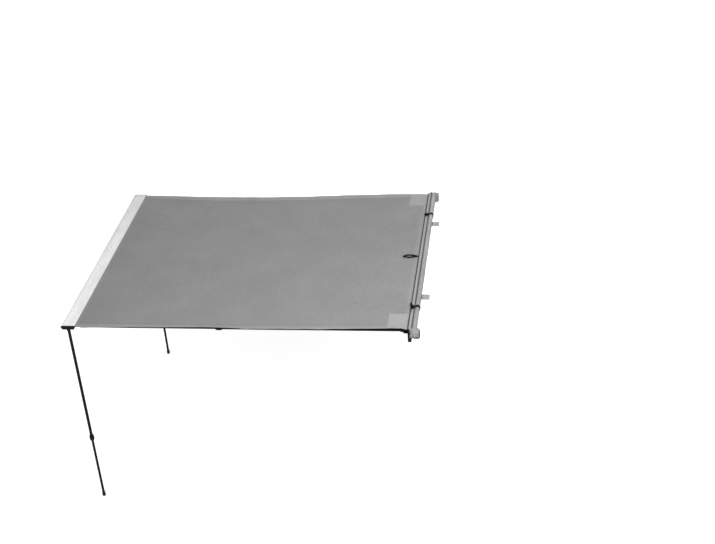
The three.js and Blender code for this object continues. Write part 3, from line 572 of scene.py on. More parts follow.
cover_form, cover_length = bag_cover_form()
bag_cover = thicken(make_piece("rolled_bag_cover", cover_form, coated_vinyl), COVER_THICKNESS)
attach(bag_cover, "base")
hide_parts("bag_cover")

# Cord of the bag cover: a round PVC keder that fills the slot on the rail's back.
BEAD_RADIUS = 3.0


def cord_form(half, out, up):
    """A round cord along the rails, from -half to half, its ends rounded a little."""
    face = [(2.4, half), (BEAD_RADIUS, half - 0.8)]
    return placed(solid([(r, -h) for r, h in face] + face[::-1], 24), *ALONG_RAILS,
                  (0, -out, up))


cover_cord = make_piece("bag_cover_cord", cord_form(COVER_HALF_LENGTH, 5, 61), coated_vinyl)
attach(cover_cord, "base")

# Bound ends of the bag cover: a folded strip of the same cloth sewn over each raw end of the
# outermost turn, with one row of lockstitch.
BINDING_WIDTH = 14.0


def binding_form(side):
    """A strip that lies on the outer turn along its end."""
    columns = [side * (COVER_HALF_LENGTH - w) for w in (-0.6, 2, 5, 9, 12, BINDING_WIDTH)]
    lifts = [1.1, *[1.5] * (len(columns) - 2), 1.1]
    rows = [[on_cover(x, angle, lift, creased_at=side * COVER_HALF_LENGTH)
             for x, lift in zip(columns, lifts)]
            for angle in np.linspace(0.35, math.tau - 0.35, 72)]
    return net(rows, distances([row[2] for row in rows]), [abs(c - columns[0]) for c in columns])


# Polyester sewing thread: pale grey, twisted; too thin to show more than a dull sheen.
thread, surface, place = new_material("polyester_thread", Roughness=0.7)
coat(surface, mixed(blots(place, mm=4, detail=1.0), "a4a5a6", "c6c7c8"))
STITCH_PITCH = 7.0
STITCH_LENGTH = 5.4
STITCH_HALF_WIDTH = 0.45
STITCH_HALF_HEIGHT = 0.5


def stitches(line):
    """Stitches along a line of points, a bit larger than life so that a row of them shows.
    Each is a spindle with four sides."""
    line = np.asarray(line, float)
    run = distances(line)
    lift = np.array([0.0, 0.0, 1.0])
    sides = ((2, 3), (3, 4), (4, 5), (5, 2))
    points, faces = [], []
    for start in np.arange(0, run[-1] - STITCH_LENGTH, STITCH_PITCH):
        a, b = (np.array([np.interp(s, run, line[:, k]) for k in range(3)])
                for s in (start, start + STITCH_LENGTH))
        middle, run_way = (a + b) / 2, (b - a) / np.linalg.norm(b - a)
        side = np.cross(lift, run_way)
        side /= np.linalg.norm(side)
        n = len(points)
        across, up = side * STITCH_HALF_WIDTH, lift * STITCH_HALF_HEIGHT
        points += [a, b, middle + across, middle + up, middle - across, middle - up]
        faces += [(n, n + c, n + d) for c, d in sides]
        faces += [(n + 1, n + d, n + c) for c, d in sides]
    return points, faces, [[0.0, 0.0]] * (3 * len(faces))


for end, side in ENDS:
    binding = thicken(make_piece(f"bag_cover_binding_{end}", binding_form(side), coated_vinyl),
                      0.8)
    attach(binding, "base")
    cover_end = side * COVER_HALF_LENGTH
    seam = [on_cover(side * (COVER_HALF_LENGTH - 10.5), angle, 2.0, creased_at=cover_end)
            for angle in np.linspace(0.4, math.pi - 0.2, 60)]
    row = make_piece(f"bag_cover_binding_stitches_{end}", stitches(seam), thread)
    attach(row, "base")

# End flaps: the ends of the travel bag, hanging loose and crumpled behind the rail's ends and
# reaching over their caps. Each is a rounded panel of the same PVC cloth with half of the bag's
# black coil zip sewn to its edge.
FLAP_TOP = 79.0
FLAP_DROP = 92.0
FLAP_OVER_RAIL = 12.0
FLAP_WIDTH = 75.0
FLAP_PAST_CAP = 9.5


def flap_point(side, across, down):
    """A point of the flap: across runs from the rail to the back, down from its top edge."""
    out = FLAP_OVER_RAIL - FLAP_WIDTH * across
    past = min(max((out + 9.0) / 6.0, 0), 1)
    hang = 0.35 + 0.65 * down
    wave = 6.5 * math.sin(5 * math.pi * across + 1.4 * math.sin(3 * down)) * hang
    fold = 7.0 * (ridges(across * 2.6 + 0.5 * down, down * 2.3, 4.4 + side) - 0.3)
    small = 3.2 * (ridges(across * 6, down * 4.5, 9.1 + side) - 0.3)
    x = COVER_HALF_LENGTH + 5.1 + past * FLAP_PAST_CAP + max(
        wave + fold + small, -4.0 + 3.6 * past)
    rim = abs(2 * across - 1)
    top = FLAP_TOP - 9.0 * rim ** 4
    drop = (FLAP_DROP - 9.0 * rim ** 4) * (1 - 0.16 * rim ** 3)
    slump = 6.0 * down * math.sin(math.pi * across) * math.sin(5 * across)
    draw = 5.0 * down * (across - 0.5)
    return side * x, -out - draw, top - drop * down + slump


def flap_form(side):
    """The whole flap as a net, near enough its cut size along both ways."""
    shares = np.linspace(0, 1, 72)
    rows = [[flap_point(side, across, down) for across in shares] for down in shares]
    return net(rows, shares * FLAP_DROP, shares * FLAP_WIDTH * 1.25)


# Coil zip: black polyester tape with nylon teeth, as in luggage.
ZIP_RIB_MM = 1.5
zip_black, surface, place = new_material("zip_tape", "UV", Roughness=0.8)
ribs = threads(place, ZIP_RIB_MM, "Y")
coat(surface, mixed(ribs, "141414", "252525"), relief=emboss(ribs, strength=0.4, mm=0.3))
ZIP_WIDTH_SHARE = 0.12
ZIP_TEETH = 84


def zip_form(side):
    """The tape down the front edge, along the lower one and up the back, and its teeth."""
    front = [((0.01, d), (ZIP_WIDTH_SHARE, 0)) for d in np.linspace(0.12, 0.94, 50)]
    lower = [((s, 1.0), (0, -ZIP_WIDTH_SHARE)) for s in np.linspace(0.04, 0.96, 60)]
    back = [((0.99, d), (-ZIP_WIDTH_SHARE, 0)) for d in np.linspace(0.94, 0.25, 50)]
    rows = []
    for (across, down), inward in front + lower + back:
        row = [flap_point(side, across + inward[0] * share, down + inward[1] * share)
               for share in (0.0, 0.35, 0.7, 1.0)]
        rows.append([(x + side * 1.2, y, z) for x, y, z in row])
    run = distances([row[0] for row in rows])
    tape, teeth = net(rows, run, [0, 3, 6, 9]), []
    for at in np.linspace(1, run[-1] - 1, ZIP_TEETH):
        n = min(int(np.searchsorted(run, at)), len(rows) - 1)
        x, y, z = rows[n][0]
        tooth = turned([(AXIS_RING, -0.9), (0.8, -0.7), (0.8, 0.7), (AXIS_RING, 0.9)], 6)
        teeth.append(placed(tooth, (0, 1, 0), (0, 0, 1), (side, 0, 0), (x + side * 0.4, y, z)))
    return together(tape, *teeth)


for end, side in ENDS:
    flap = thicken(make_piece(f"bag_end_flap_{end}", flap_form(side), coated_vinyl), 1.2)
    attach(flap, "base")
    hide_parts(f"end_flap_{end}")
    coil_zip = make_piece(f"bag_zip_{end}", zip_form(side), zip_black)
    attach(coil_zip, "base")

# Roll straps: two bands of 25 mm black polyester webbing, anchored on the rail's top. Each runs
# back over the rolled cover, round it and up again, drawn tight by a moulded ladder buckle.
STRAP_WIDTH = 25.0
STRAP_THICKNESS = 1.5
STRAP_AWAY = 2.35
STRAP_OPEN_SHARE = 0.07
STRAP_ANCHOR_OUT = 22.5
STRAP_LEVEL = 70.05
RIB_MM = 3.0
WARP_LINE_MM = 4.2

# Polyester webbing, woven: black with ribs across and raised warp lines along it. Real ribs
# are 1.4 mm apart and are drawn at 3 mm, and the warp lines at 4.2 mm.
webbing, surface, place = new_material("polyester_webbing", "UV", Roughness=0.85,
                                       Sheen_Weight=0.05, Sheen_Roughness=0.4,
                                       Specular_IOR_Level=0.15)
weave = maths("MULTIPLY", threads(place, RIB_MM, "Y"), threads(place, WARP_LINE_MM, "X"))
fuzz = blots(place, mm=9, detail=5.0)
coat(surface, mixed(fuzz, mixed(weave, "0b0b0c", "1c1c1d"), "131314"),
     relief=emboss(weave, strength=0.6, mm=0.6))


def band(path, across, width=STRAP_WIDTH, thickness=STRAP_THICKNESS):
    """Webbing along a path of points, its width lying along across; selvedges are rounded."""
    path, across = np.asarray(path, float), np.array(across, float)
    way = np.gradient(path, axis=0)
    way /= np.linalg.norm(way, axis=1)[:, None]
    normal = np.cross(way, across)
    normal /= np.linalg.norm(normal, axis=1)[:, None]
    half, thin = width / 2, thickness / 2
    under = [(-half, -thin * 0.5), (-half + 0.8, -thin), (-half / 2, -thin), (0, -thin),
             (half / 2, -thin), (half - 0.8, -thin), (half, -thin * 0.5)]
    section = under + [(-a, -t) for a, t in under]
    rows = [[p + across * a + n * t for a, t in section] for p, n in zip(path, normal)]
    widths = [a + half for a, _ in section] + [section[0][0] + half]
    return net(rows, distances(path), widths, closed=True, capped=True)


def touch_angle(out, up, inset):
    """The angle at which a straight line from a point in front first touches the roll."""
    across = (out - ROLL_MIDDLE_OUT) / (ROLL_HALF_WIDTH - inset)
    above = (up - ROLL_MIDDLE_UP) / (ROLL_HALF_HEIGHT - inset)
    return math.atan2(above, across) + math.acos(1 / math.hypot(across, above))


def smoothed(points, count):
    """The same line with count points and rounded corners."""
    points = np.asarray(points, float)
    fine = np.linspace(0, len(points) - 1, count)
    line = np.stack([np.interp(fine, range(len(points)), points[:, k]) for k in range(3)], 1)
    for _ in range(3):
        line[1:-1] = (line[:-2] + 2 * line[1:-1] + line[2:]) / 4
    return line


# The loose ends as [out, up] from the buckle's back bar: the near one is turned back in a
# standing loop, and the far one lies flat.
TAILS = {"near": [(5, 78.2), (11, 78.4), (17, 79), (23, 81), (27, 87), (27.5, 95), (22, 101),
                  (15, 98), (13, 90), (10, 82)],
         "far": [(5, 78.2), (10, 78.3), (15, 78.4), (20, 78), (25, 75), (29, 70)]}

for end, at in STRAP_PLACES.items():
    start = touch_angle(0.0, STRAP_LEVEL, -STRAP_AWAY)
    path = [(out, STRAP_LEVEL) for out in np.linspace(STRAP_ANCHOR_OUT, 1.5, 8)]
    path += [roll_point(a, -STRAP_AWAY) for a in np.linspace(
        start, math.tau * (1 - STRAP_OPEN_SHARE), 90)]
    strap = make_piece(f"roll_strap_band_{end}", band([(at, -o, u) for o, u in path], (1, 0, 0)),
                       webbing)
    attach(strap, "base")
    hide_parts(f"roll_strap_{end}")
    dress(f"roll_buckle_{end}", moulded_abs, 1.0, 3)
    tail = smoothed([(at, -o, u) for o, u in TAILS[end]], 50)
    tail_piece = make_piece(f"roll_strap_tail_{end}",
                            band(tail, (1, 0, 0), STRAP_WIDTH - 1, 1.3), webbing)
    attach(tail_piece, "base")

# Canopy: one panel of grey coated polyester, 2 m wide, held by cords in the slots of both
# rails. It is stretched between them, hangs a little at the far side, carries soft roll marks
# and has a folded hem sewn down each free side.
CANOPY_EDGE = 997.0
BASE_EDGE = 24.0
LEAD_EDGE = 2404.0
CANOPY_LEVEL = 63.0
LEAD_CORD_LEVEL = 57.0
CANOPY_THICKNESS = 0.9
RAIL_LENGTH = 2000.0
FAR_SAG = 26.0
NEAR_SAG = 10.0
WEAVE_MM = 2.6
# Cloth tones (far, near) at the lead and base sides: painted light, darker toward the lead rail and
# the far end.
CLOTH_LEAD = ("7b7b7b", "828282")
CLOTH_BASE = ("8a8a8a", "9b9b9b")
CLOTH_PAINTED_LIGHT_Y = (-2.4, -0.1)
CLOTH_RAIL_SHADE_Y = (-0.032, -0.0255)
GATHER_Y = (-0.068, -0.04)
GATHER_MM = (400, 9, 1000)
WELDED_EDGE_Y = (-2.4, -2.382)
HEM_WIDTH = 40.0
SEAM_VALLEY_SHADE_X = (0.938, 0.947, 0.9555)
HEM_PAINTED_LIGHT = 1.16
CURL_OUT = (24, 45, 75, 125, 165, 225, 310, 395, 480, 567, 739, 825, 911, 1170, 1215, 1280,
            1380, 1475, 1600, 1700, 1800, 1925, 2020, 2110, 2200, 2340, 2404)
CURL_UP = (0, 6, 13, 12, 9.5, 8.5, 8, 6.5, 5.5, 2.8, 2.4, 2.8, 4.5, 4.7, 9.5, 11.3,
           13.5, 14.7, 14.5, 12.5, 11, 6, 5.5, 3.8, -3, -8, -3)
CURL_REACH = 26.0

# Coated polyester, plain woven: matt mid grey with a fine square weave and soft mottling.
# Threads are 0.4 mm apart on the real cloth and drawn at 2.6 mm. Painted light makes it paler
# toward the vehicle and toward the near end and draws light streaks on the gathers by the base
# rail; painted shade draws a dark line where it meets the base rail and a dark band in each
# hem's seam valley.
coated_polyester, surface, place = new_material("coated_polyester", Sheen_Weight=0.1,
                                                Sheen_Roughness=0.5, Specular_IOR_Level=0.3)
parts = axes(place)
weave = maths("MULTIPLY", threads(place, WEAVE_MM, "X"), threads(place, WEAVE_MM, "Y"))
# Painted light: paler toward the vehicle and toward the near end.
painted_light_fade = maths("POWER", ramp(parts["Y"], *CLOTH_PAINTED_LIGHT_Y), 0.75)
painted_light_side_fade = ramp(parts["X"], *RAIL_ENDS_X)
tone = mixed(painted_light_fade, mixed(painted_light_side_fade, *CLOTH_LEAD), mixed(painted_light_side_fade, *CLOTH_BASE))
cloud = blots(place, mm=320, detail=4.0, Roughness=0.6)
slub = blots(place, mm=26, detail=5.0, Roughness=0.7)
shade = grown(cloud, 0.28, 0.7)
shade = grown(slub, 0.38, shade)
shade = grown(weave, 0.06, shade)
# Painted light and shade: streaks along the gathers by the base rail.
gather_light_streaks = maths("MULTIPLY", ramp(parts["Y"], *GATHER_Y), blots(place, mm=GATHER_MM, detail=3.0))
shade = grown(gather_light_streaks, 0.36, shade)
shade = maths("ADD", shade, ramp(parts["Y"], *WELDED_EDGE_Y, 0.22, 0.0))
# Painted shade and grime: a dark line where the cloth meets the base rail.
shade = maths("SUBTRACT", shade, ramp(parts["Y"], *CLOTH_RAIL_SHADE_Y, 0.06, 0.66))
side = maths("ABSOLUTE", parts["X"])
# Painted shade: a dark band in the seam valley inside each hem.
shade = maths("SUBTRACT", shade, ramp(side, *SEAM_VALLEY_SHADE_X[:2], 0.0, 0.1))
shade = maths("ADD", shade, ramp(side, *SEAM_VALLEY_SHADE_X[1:], 0.0, 0.1))
tone = add_node(surface.id_data, "VectorMath", {0: tone, "Scale": shade},
                operation="SCALE").outputs[0]
coat(surface, tone, grown(slub, 0.2, 0.68),
     emboss(cloud, strength=0.3, mm=10, under=emboss(weave, strength=0.25, mm=0.4)))


def canopy_level(x, out):
    """The height of the cloth's middle: the line between its cords, its sag and its creases."""
    share = min(max((out - BASE_EDGE) / (LEAD_EDGE - BASE_EDGE), 0), 1)
    line = CANOPY_LEVEL + (LEAD_CORD_LEVEL - CANOPY_LEVEL) * share
    nearness = (x / RAIL_LENGTH + 0.5) ** 2
    sag = (FAR_SAG - (FAR_SAG - NEAR_SAG) * nearness) * math.sin(math.pi * share ** 1.4)
    away = min(out - BASE_EDGE, LEAD_EDGE - out) if BASE_EDGE < out < LEAD_EDGE else 0
    held = min(away / 60, 1)
    marks = 1.5 * noise.noise(Vector((x / 1100, out / 95, 0.3)))
    pulls = 2.2 * noise.noise(Vector((x / 45, out / 700, 5.2))) * math.exp(-abs(out - 1900) / 700)
    edge = CANOPY_EDGE - abs(x)
    flutter = 3.0 * math.exp(-edge / 90) * noise.noise(Vector((x / 300, out / 130, 7.7)))
    near_base = math.exp(-max(out - BASE_EDGE, 0) / 26)
    drift = 2.2 * noise.noise(Vector((x / 240, 0.0, 2.0)))
    gathers = -3.2 * near_base * min(held * 4, 1) * (0.5 + 0.5 * math.sin(
        (out - BASE_EDGE) * math.tau / 15 + drift))
    valley = -7 * math.exp(-((x + CANOPY_EDGE - 44) / 16) ** 2) * min(away / 250, 1)
    lip = 5 * math.exp(-(x + CANOPY_EDGE) / 14) * min(away / 250, 1)
    curl = math.exp((x - CANOPY_EDGE) / CURL_REACH) * float(np.interp(out, CURL_OUT, CURL_UP))
    return line - sag + held * (marks + pulls + flutter) + gathers + valley + lip + curl


def on_canopy(x, out, lift=0.0):
    """A point over the cloth at a lift in millimetres."""
    return x, -out, canopy_level(x, out) + lift


# Rows of the cloth from the vehicle out, close together where it gathers at the rail, and its
# columns, close together along both hems.
outs = [*np.arange(BASE_EDGE - 3, BASE_EDGE + 90, 3),
        *np.linspace(BASE_EDGE + 92, LEAD_EDGE - 30, 186),
        *np.linspace(LEAD_EDGE - 24, LEAD_EDGE + 3, 6)]
by_hem = np.arange(0, 78, 6)
columns = [*(by_hem - CANOPY_EDGE), *np.linspace(-CANOPY_EDGE + 80, CANOPY_EDGE - 80, 160),
           *(CANOPY_EDGE - by_hem[::-1])]
form = net([[on_canopy(x, out) for x in columns] for out in outs], outs, columns)
canopy = thicken(make_piece("canopy_cloth", form, coated_polyester), CANOPY_THICKNESS)


def roll_up(piece):
    """Attaches a canopy piece to the base rail and gives it a mesh of its own."""
    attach(piece, "base")
    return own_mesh(piece)


def hem_form(side):
    """The edge folded over the top and under the bottom, along the whole free side."""
    section = [(HEM_WIDTH, 1.0), (HEM_WIDTH - 1.5, 1.5), (HEM_WIDTH / 2, 1.4), (3, 1.5),
               (0.6, 1.5), (-1.0, 0.9), (-1.4, -0.6), (-1.0, -1.8), (0.6, -2.2), (3, -2.0),
               (HEM_WIDTH / 2, -1.7), (HEM_WIDTH, -1.4)]
    rows = [[(side * (CANOPY_EDGE - inward), -out,
              canopy_level(side * (CANOPY_EDGE - max(inward, 0)), out) + lift)
             for inward, lift in section] for out in outs[2:-1]]
    return net(rows, outs[2:-1], distances(section))


# Hem cloth: the same polyester, folded in two layers and painted a shade lighter than the panel as
# painted light.
hem_cloth = coated_polyester.copy()
hem_cloth.name = "coated_polyester_hem_painted_light"
for node in hem_cloth.node_tree.nodes:
    if node.type == "MIX":
        for socket in (node.inputs[6], node.inputs[7]):
            socket.default_value = [min(c * HEM_PAINTED_LIGHT, 1) for c in socket.default_value]

canopy_pieces = []
for end, side in ENDS:
    hem = thicken(make_piece(f"canopy_hem_{end}", hem_form(side), hem_cloth), 0.5)
    rows = [[on_canopy(side * (CANOPY_EDGE - inset), out, 1.9) for out in outs[3:-3]]
            for inset in (HEM_WIDTH - 4, HEM_WIDTH - 11)]
    seam = make_piece(f"canopy_hem_stitches_{end}", together(*map(stitches, rows)), thread)
    canopy_pieces += [hem, seam]

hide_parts("canopy")
for piece in [canopy, *canopy_pieces]:
    roll_up(piece)

# Canopy cords: round PVC cords welded into both edges of the canopy, one in each rail's slot.
for rail, out, up in (("base", 19.0, CANOPY_LEVEL), ("lead", 2409.0, LEAD_CORD_LEVEL)):
    cord = make_piece(f"canopy_cord_{rail}", cord_form(CANOPY_EDGE, out, up), coated_polyester)
    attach(cord, rail)

# Corner patches: reinforcing panels of lighter heavy cloth sewn on the two corners at the
# vehicle, each with a double row of stitches round its edge and a cross in its middle.
PATCH_OUT = 140.0
PATCH_ALONG = 195.0
PATCH_INSET = 4.0
PATCH_SEAMS = (6, 13)
PATCH_WEAVE_MM = 2.2
# Patch tones for each end: the cloth's own tone with painted light, lighter at the near end.
PATCH_TONES_WITH_PAINTED_LIGHT = {"near": ("aaaaaa", "b8b8b8"), "far": ("939393", "a6a6a6")}


def patch_point(side, along, out, lift):
    """A point on the patch, from its corner inward along the rail and out from it."""
    return on_canopy(side * (CANOPY_EDGE - PATCH_INSET - along), BASE_EDGE + PATCH_INSET + out,
                     lift)


for end, side in ENDS:
    # Heavy coated cloth: a paler, tighter weave than the canopy's, with a slight sheen; painted
    # light makes the near patch lighter than the far one.
    patch_cloth, surface, place = new_material(f"heavy_patch_cloth_{end}", Sheen_Weight=0.1)
    check = add_node(surface.id_data, "TexChecker", {
        "Vector": place, "Scale": 1000 / PATCH_WEAVE_MM}).outputs["Fac"]
    blot = blots(place, mm=40, detail=5.0)
    coat(surface, mixed(blot, *PATCH_TONES_WITH_PAINTED_LIGHT[end]), grown(blot, 0.25, 0.6),
         emboss(check, strength=0.15, mm=0.3))

    alongs = np.linspace(0, PATCH_ALONG, 34)
    patch_outs = np.linspace(0, PATCH_OUT, 40)
    rows = [[patch_point(side, a, o, 2.6 if a < HEM_WIDTH else 2.6 - 1.2 * min(
        (a - HEM_WIDTH) / 10, 1)) for a in alongs] for o in patch_outs]
    patch = thicken(make_piece(f"corner_patch_cloth_{end}", net(rows, patch_outs, alongs),
                               patch_cloth), 0.8)
    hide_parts(f"corner_patch_{end}")
    lines = []
    for inset in PATCH_SEAMS:
        a0, a1, o0, o1 = inset, PATCH_ALONG - inset, inset, PATCH_OUT - inset
        corners = [(a0, o0), (a1, o0), (a1, o1), (a0, o1), (a0, o0)]
        lines += list(zip(corners, corners[1:]))
    lines += [((a0, o0), (a1, o1)), ((a1, o0), (a0, o1))]
    rows = [[patch_point(side, a0 + (a1 - a0) * s, o0 + (o1 - o0) * s, 3.1)
             for s in np.linspace(0, 1, 30)] for (a0, o0), (a1, o1) in lines]
    seam = make_piece(f"corner_patch_stitches_{end}", together(*map(stitches, rows)), thread)
    for piece in (patch, seam):
        roll_up(piece)

# Storage loop: a loop of 12 mm black webbing standing on its edge on the canopy by the rail,
# which ties the rolled awning up, with a moulded cam buckle at its outer end.
LOOP_AT = 14.0
LOOP_START = 27.0
LOOP_LENGTH = 100.0
LOOP_HALF_WIDTH = 24.0
LOOP_FLOOR = 63.9
LOOP_WEBBING = 12.0
GRIP_RIBS = 4
GRIP_START = 2.2
GRIP_PITCH = 2.8

path = []
for share in np.linspace(0, 1, 90):
    angle = math.tau * share
    away = (1 - math.cos(angle)) / 2
    x = LOOP_AT + LOOP_HALF_WIDTH * math.sin(angle) * away ** 0.6 + (share - 0.5) * 4.5
    path.append((x, -(LOOP_START + LOOP_LENGTH * away), LOOP_FLOOR + LOOP_WEBBING / 2))
loop = make_piece("storage_loop_webbing", band(path, (0, 0, 1), LOOP_WEBBING), webbing)
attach(loop, "base")
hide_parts("storage_loop")
dress("storage_buckle", moulded_abs, 1.2, 3)
low, high = (1000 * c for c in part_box("storage_buckle"))
ribs = []
for n in range(GRIP_RIBS):
    y = low.y + GRIP_START + n * GRIP_PITCH
    rib = solid([(0.5, -7), (0.8, -6), (0.8, 6), (0.5, 7)], 12)
    ribs.append(placed(rib, *ALONG_RAILS, ((low.x + high.x) / 2, y, high.z + 0.1)))
grip = make_piece("storage_buckle_grip", together(*ribs), moulded_abs)
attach(grip, "base")

# Lead rail: the wide silver front extrusion that the canopy hangs from. It is open below, and
# the legs and arms fold into it. Its ends are closed by black moulded caps with two screws.
# The fine groove along its top is a little darker, and painted shade darkens the edge beside the
# canopy.
LEAD_MIDDLE = 2452.0
# Lead rail tones at the far and near ends; the difference between them is a painted reflection.
LEAD_RAIL_FAR = "d2d2d3"
LEAD_RAIL_NEAR = "f4f4f4"
LEAD_GROOVE_Y = -2.492
LEAD_INNER_SHADE_Y = (-2.414, -2.404)
lead_aluminium, surface, place = rail_finish("anodised_aluminium_lead", LEAD_RAIL_FAR,
                                             LEAD_RAIL_NEAR, "a9a9aa")
depth_way = axes(place)["Y"]
from_groove = maths("ABSOLUTE", maths("SUBTRACT", depth_way, LEAD_GROOVE_Y))
# Darker along the top groove; painted shade along the inner edge beside the canopy.
darkening = maths("MAXIMUM", ramp(from_groove, 0.0022, 0.0045, 0.12, 0.0),
             ramp(depth_way, *LEAD_INNER_SHADE_Y, 0.0, 0.5))
lay_colour(surface, darkening, "8c8c8c")
dress("lead_rail", lead_aluminium, 0.45, 3)
for end, side in ENDS:
    dress(f"lead_cap_{end}", moulded_abs, 1.2, 3)
    cap_screws("lead", end, side, [(LEAD_MIDDLE - 26, 46), (LEAD_MIDDLE + 34, 46)])

# Arm catches: moulded blocks screwed to the lead rail's inner wall, each with a downward pin
# that the arm's end hangs on.
CATCH_OUT = 2393.0
CATCH_HALF = 14.0
for end, side in ENDS:
    low, high = (1000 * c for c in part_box(f"arm_catch_{end}"))
    inner, outer = CATCH_OUT - 10, -low.y
    section = [(inner, 53), (2403.7, 53), (2403.7, 51), (outer, 34), (inner, 34)]
    stations = (-CATCH_HALF, CATCH_HALF)
    block = net([[(side * ARM_AT + s, -o, u) for o, u in section] for s in stations],
                stations, [0, 20, 22, 40, 60, 80], closed=True, capped=True)
    bottom = ARM_LEVEL[end] + 18.5
    pin = solid([(3.2, bottom), (4.0, bottom + 1.2), (4.0, 36)], 32)
    under_block = (side * ARM_AT, -CATCH_OUT, 0)
    forms = [block, placed(pin, *UPRIGHT, under_block)]
    if end == "far":
        post = solid([(6.2, bottom + 12.5), (7.0, bottom + 13.5), (7.0, 36)], 32)
        forms.append(placed(post, *UPRIGHT, under_block))
    catch = make_piece(f"arm_catch_block_{end}", together(*forms), moulded_abs)
    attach(soften(catch, 0.8, 3), "lead")
    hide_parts(f"arm_catch_{end}")

# Leg brackets and pins: zinc-plated channels riveted inside the lead rail, each holding the
# top of a leg on a cross pin.
LEG_AT = 970.0
LEG_OUT = {"near": 2468.0, "far": 2436.0}
LEG_PIVOT_UP = 41.0
for end, side in ENDS:
    dress(f"leg_bracket_{end}", zinc_plate, 0.4)
    pin = make_piece(f"leg_cross_pin_{end}", placed(
        cross_pin(14.5), (1, 0, 0), (0, 0, 1), (0, -1, 0),
        (side * LEG_AT, -LEG_OUT[end], LEG_PIVOT_UP)), zinc_plate)
    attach(soften(pin, 0.25), "lead")
    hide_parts(f"leg_pin_{end}")

# Legs: two telescoping poles of black tube. A moulded knuckle turns on the cross pin, a twist
# collar locks the thinner lower tube in the upper one, and a rubber foot stands on the ground.
OUTER_RADIUS = 11.0
INNER_RADIUS = 9.5
KNUCKLE_REACH = 32.0
KNUCKLE_HALF = 12.0
COLLAR_RADIUS = 18.0
COLLAR_HALF = 24.0
FLUTES = 9
FLUTE_RADIUS = 4.0
LEG_COLLAR_AT = 1010.0
LEG_TUBE_SPAN = (574, 1570.7)
LEG_LENGTH = 1578.0
FOOT_LENGTH = 35.0
FOOT_RADIUS = 12.5
FOOT_RIBS = 4
FOOT_RIB_PITCH = 5

# Black anodised tube: satin, with long fine scratches where it slides. The scratches are
# 0.2 mm wide on the real tube and are drawn at 1.2 mm.
black_tube, surface, place = new_material("black_anodised_tube", "UV", Metallic=0.1, IOR=1.5,
                                          Specular_IOR_Level=0.12)
scratch = blots(place, mm=(1.2, 1000 / 9, 1000), detail=3.0)
dust = blots(place, mm=70, detail=5.0)
tone = mixed(ramp(scratch, 0.62, 0.78, 0.0, 0.6), mixed(dust, "06090b", "0e1214"), "3a3c3e")
coat(surface, tone, grown(dust, 0.25, 0.26), emboss(scratch, strength=0.1, mm=0.2))

# Rubber, moulded: matt black with a powdery bloom of ground dust.
moulded_rubber, surface, place = new_material("moulded_rubber", IOR=1.52, Specular_IOR_Level=0.2)
bloom = blots(place, mm=14, detail=6.0)
coat(surface, mixed(bloom, "121212", "2c2a28"), grown(bloom, 0.3, 0.6),
     emboss(bloom, strength=0.3, mm=0.4))


def knuckle_form():
    """The flat-sided eye that turns on the pin, with its round neck into the tube."""
    eye = [(OUTER_RADIUS * math.cos(a), OUTER_RADIUS * math.sin(a))
           for a in np.linspace(math.pi, math.tau, 25)]
    eye += [(OUTER_RADIUS, KNUCKLE_REACH), (-OUTER_RADIUS, KNUCKLE_REACH)]
    stations = (-KNUCKLE_HALF, KNUCKLE_HALF)
    block = net([[(s, a, h) for a, h in eye] for s in stations], stations,
                list(range(len(eye) + 1)), closed=True, capped=True)
    plug = solid([(9.5, 20), (9.5, KNUCKLE_REACH + 28)], 32)
    return together(block, plug)


def outer_tube_form(collar_at):
    """The thick tube from the knuckle to inside the collar."""
    start, end = KNUCKLE_REACH + 0.3, collar_at + 8.5
    return turned([(9.9, start), (10.7, start), (OUTER_RADIUS, start + 0.4),
                   (OUTER_RADIUS, end), (9.9, end)], 48)


def inner_tube_form(start, end):
    """The thin tube that slides in it."""
    return turned([(8.4, start), (9.2, start), (INNER_RADIUS, start + 0.4),
                   (INNER_RADIUS, end - 0.4), (9.2, end), (8.4, end)], 48)


def collar_form(at):
    """A twist collar: a ring, a fluted grip and a nose that closes on the thin tube."""
    low, high = at - COLLAR_HALF, at + COLLAR_HALF
    grip_low, grip_high = low + 8, high - 12

    def fluted(angle, radius, height):
        if not grip_low + 1.9 < height < high - 0.5:
            return radius
        step = math.tau / FLUTES
        turn = (angle + step / 2) % step - step / 2
        centre = COLLAR_RADIUS + FLUTE_RADIUS * 0.55
        across = centre * math.sin(turn)
        if abs(across) >= FLUTE_RADIUS:
            return radius
        floor = centre * math.cos(turn) - math.sqrt(FLUTE_RADIUS ** 2 - across ** 2)
        return min(radius, floor)

    profile = [(11.3, low), (15.0, low), (15.5, low + 0.6), (15.5, grip_low - 1.0),
               (16.2, grip_low - 0.6), (17.3, grip_low), (COLLAR_RADIUS, grip_low + 0.8),
               (COLLAR_RADIUS, grip_low + 1.8), (COLLAR_RADIUS, grip_low + 2.4)]
    profile += [(COLLAR_RADIUS, h) for h in np.linspace(grip_low + 6, grip_high - 2, 6)]
    profile += [(17.6, grip_high), (16.9, grip_high + 2.2), (13.1, high - 1.4),
                (12.5, high - 0.5), (12.0, high), (9.8, high), (9.8, high - 14)]
    return turned(profile, 108, fluted)


def foot_form():
    """A ribbed rubber boot with a domed rim, pushed on the tube's end."""
    start = LEG_LENGTH - FOOT_LENGTH
    profile = [(9.6, start), (11.4, start), (12.0, start + 0.6), (12.0, start + 3)]
    for rib in range(FOOT_RIBS):
        base = start + (rib + 1) * FOOT_RIB_PITCH
        profile += [(11.6, base), (FOOT_RADIUS, base + 0.8), (FOOT_RADIUS, base + 2.6),
                    (11.6, base + 3.4)]
    profile += [(FOOT_RADIUS, LEG_LENGTH - 8), (FOOT_RADIUS, LEG_LENGTH - 2),
                (11.6, LEG_LENGTH - 0.4), (10.4, LEG_LENGTH), (4.0, LEG_LENGTH),
                (AXIS_RING, LEG_LENGTH - 0.5)]
    return turned(profile, 48)


